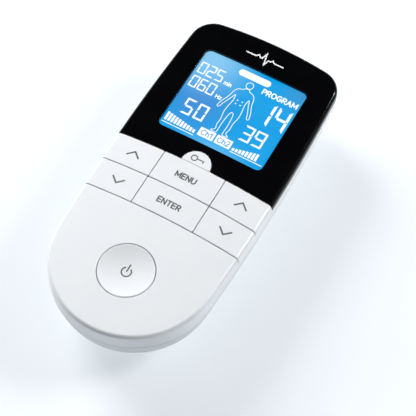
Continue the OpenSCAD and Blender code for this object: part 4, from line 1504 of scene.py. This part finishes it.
def studio():
    """A pale floor that shades into an equally pale horizon."""
    half = 12.0                    # metres
    mesh = bpy.data.meshes.new("floor")
    corner = rectangle(-half, -half, half, half)
    mesh.from_pydata([(x, y, 0) for x, y in corner.tolist()], [], [(0, 1, 2, 3)])
    floor = added("floor", mesh)
    m = Recipe("floor_paper")
    far = m.node("ShaderNodeVectorMath", {0: m.space}, operation="LENGTH")
    m.set(Base_Color=m.clouded(30, (0.46, 0.475, 0.495), (0.44, 0.455, 0.475)), Roughness=0.9,
          Specular_IOR_Level=0.1, Emission_Color=(0.91, 0.97, 1.0, 1),
          Emission_Strength=m.ranged(far.outputs["Value"], 0.54, 0.85, 0.5, 2.5))
    mesh.materials.append(m.material)
    world = bpy.data.worlds.new("studio")
    world.use_nodes = True
    tree = world.node_tree
    # Pale near the horizon and dim above.
    space = new_node(tree, "ShaderNodeTexCoord")
    split = new_node(tree, "ShaderNodeSeparateXYZ", {"Vector": space.outputs["Generated"]})
    height = new_node(tree, "ShaderNodeMapRange", {
        "From Min": 0.12, "From Max": 0.35, "To Min": 0.65, "To Max": 0.06, "Value": split.outputs["Z"]})
    back = tree.nodes["Background"]
    feed(tree, back.inputs["Color"], (0.78, 0.89, 1.0, 1))
    feed(tree, back.inputs["Strength"], height.outputs["Result"])
    bpy.context.scene.world = world


def soft_light(name, place, size, power, shades=True, mirrored=True):
    """A light aimed at the object, which may do only one of shading it and showing as a gleam."""
    light = bpy.data.lights.new(name, "AREA")
    light.shape = "RECTANGLE"
    light.size, light.size_y = size
    light.energy = power
    lamp = added(name, light)
    lamp.location = place
    lamp.rotation_euler = (-Vector(place)).to_track_quat("-Z", "Y").to_euler()
    lamp.visible_diffuse = shades
    lamp.visible_glossy = mirrored


def camera():
    """The photograph's view: from the right and the tail end, well above the face."""
    azimuth, height, roll = math.radians(28.88), math.radians(61.23), math.radians(0.5)
    distance = 0.46694
    target = Vector((0.00946, -0.00199, 0.0185))
    back = Vector((math.sin(azimuth) * math.cos(height), -math.cos(azimuth) * math.cos(height),
                   math.sin(height)))
    level = Vector((math.cos(azimuth), math.sin(azimuth), 0))
    up = back.cross(level)
    right = math.cos(roll) * level + math.sin(roll) * up
    up = math.cos(roll) * up - math.sin(roll) * level
    data = bpy.data.cameras.new("camera")
    data.sensor_width = 36
    data.lens = 113.6
    eye = added("camera", data)
    eye.matrix_world = Matrix.Translation(target + back * distance) @ Matrix(
        (right, up, back)).transposed().to_4x4()
    bpy.context.scene.camera = eye


studio()
soft_light("left_softbox", (-0.84, 0.38, 0.62), (0.6, 0.6), 15.5, mirrored=False)
soft_light("right_softbox", (0.6, 0.5, 0.66), (0.3, 0.3), 6.5, mirrored=False)
soft_light("right_strip", (0.6, 0.5, 0.66), (0.6, 0.16), 14, shades=False)
camera()
bpy.context.scene.view_settings.view_transform = "Standard"
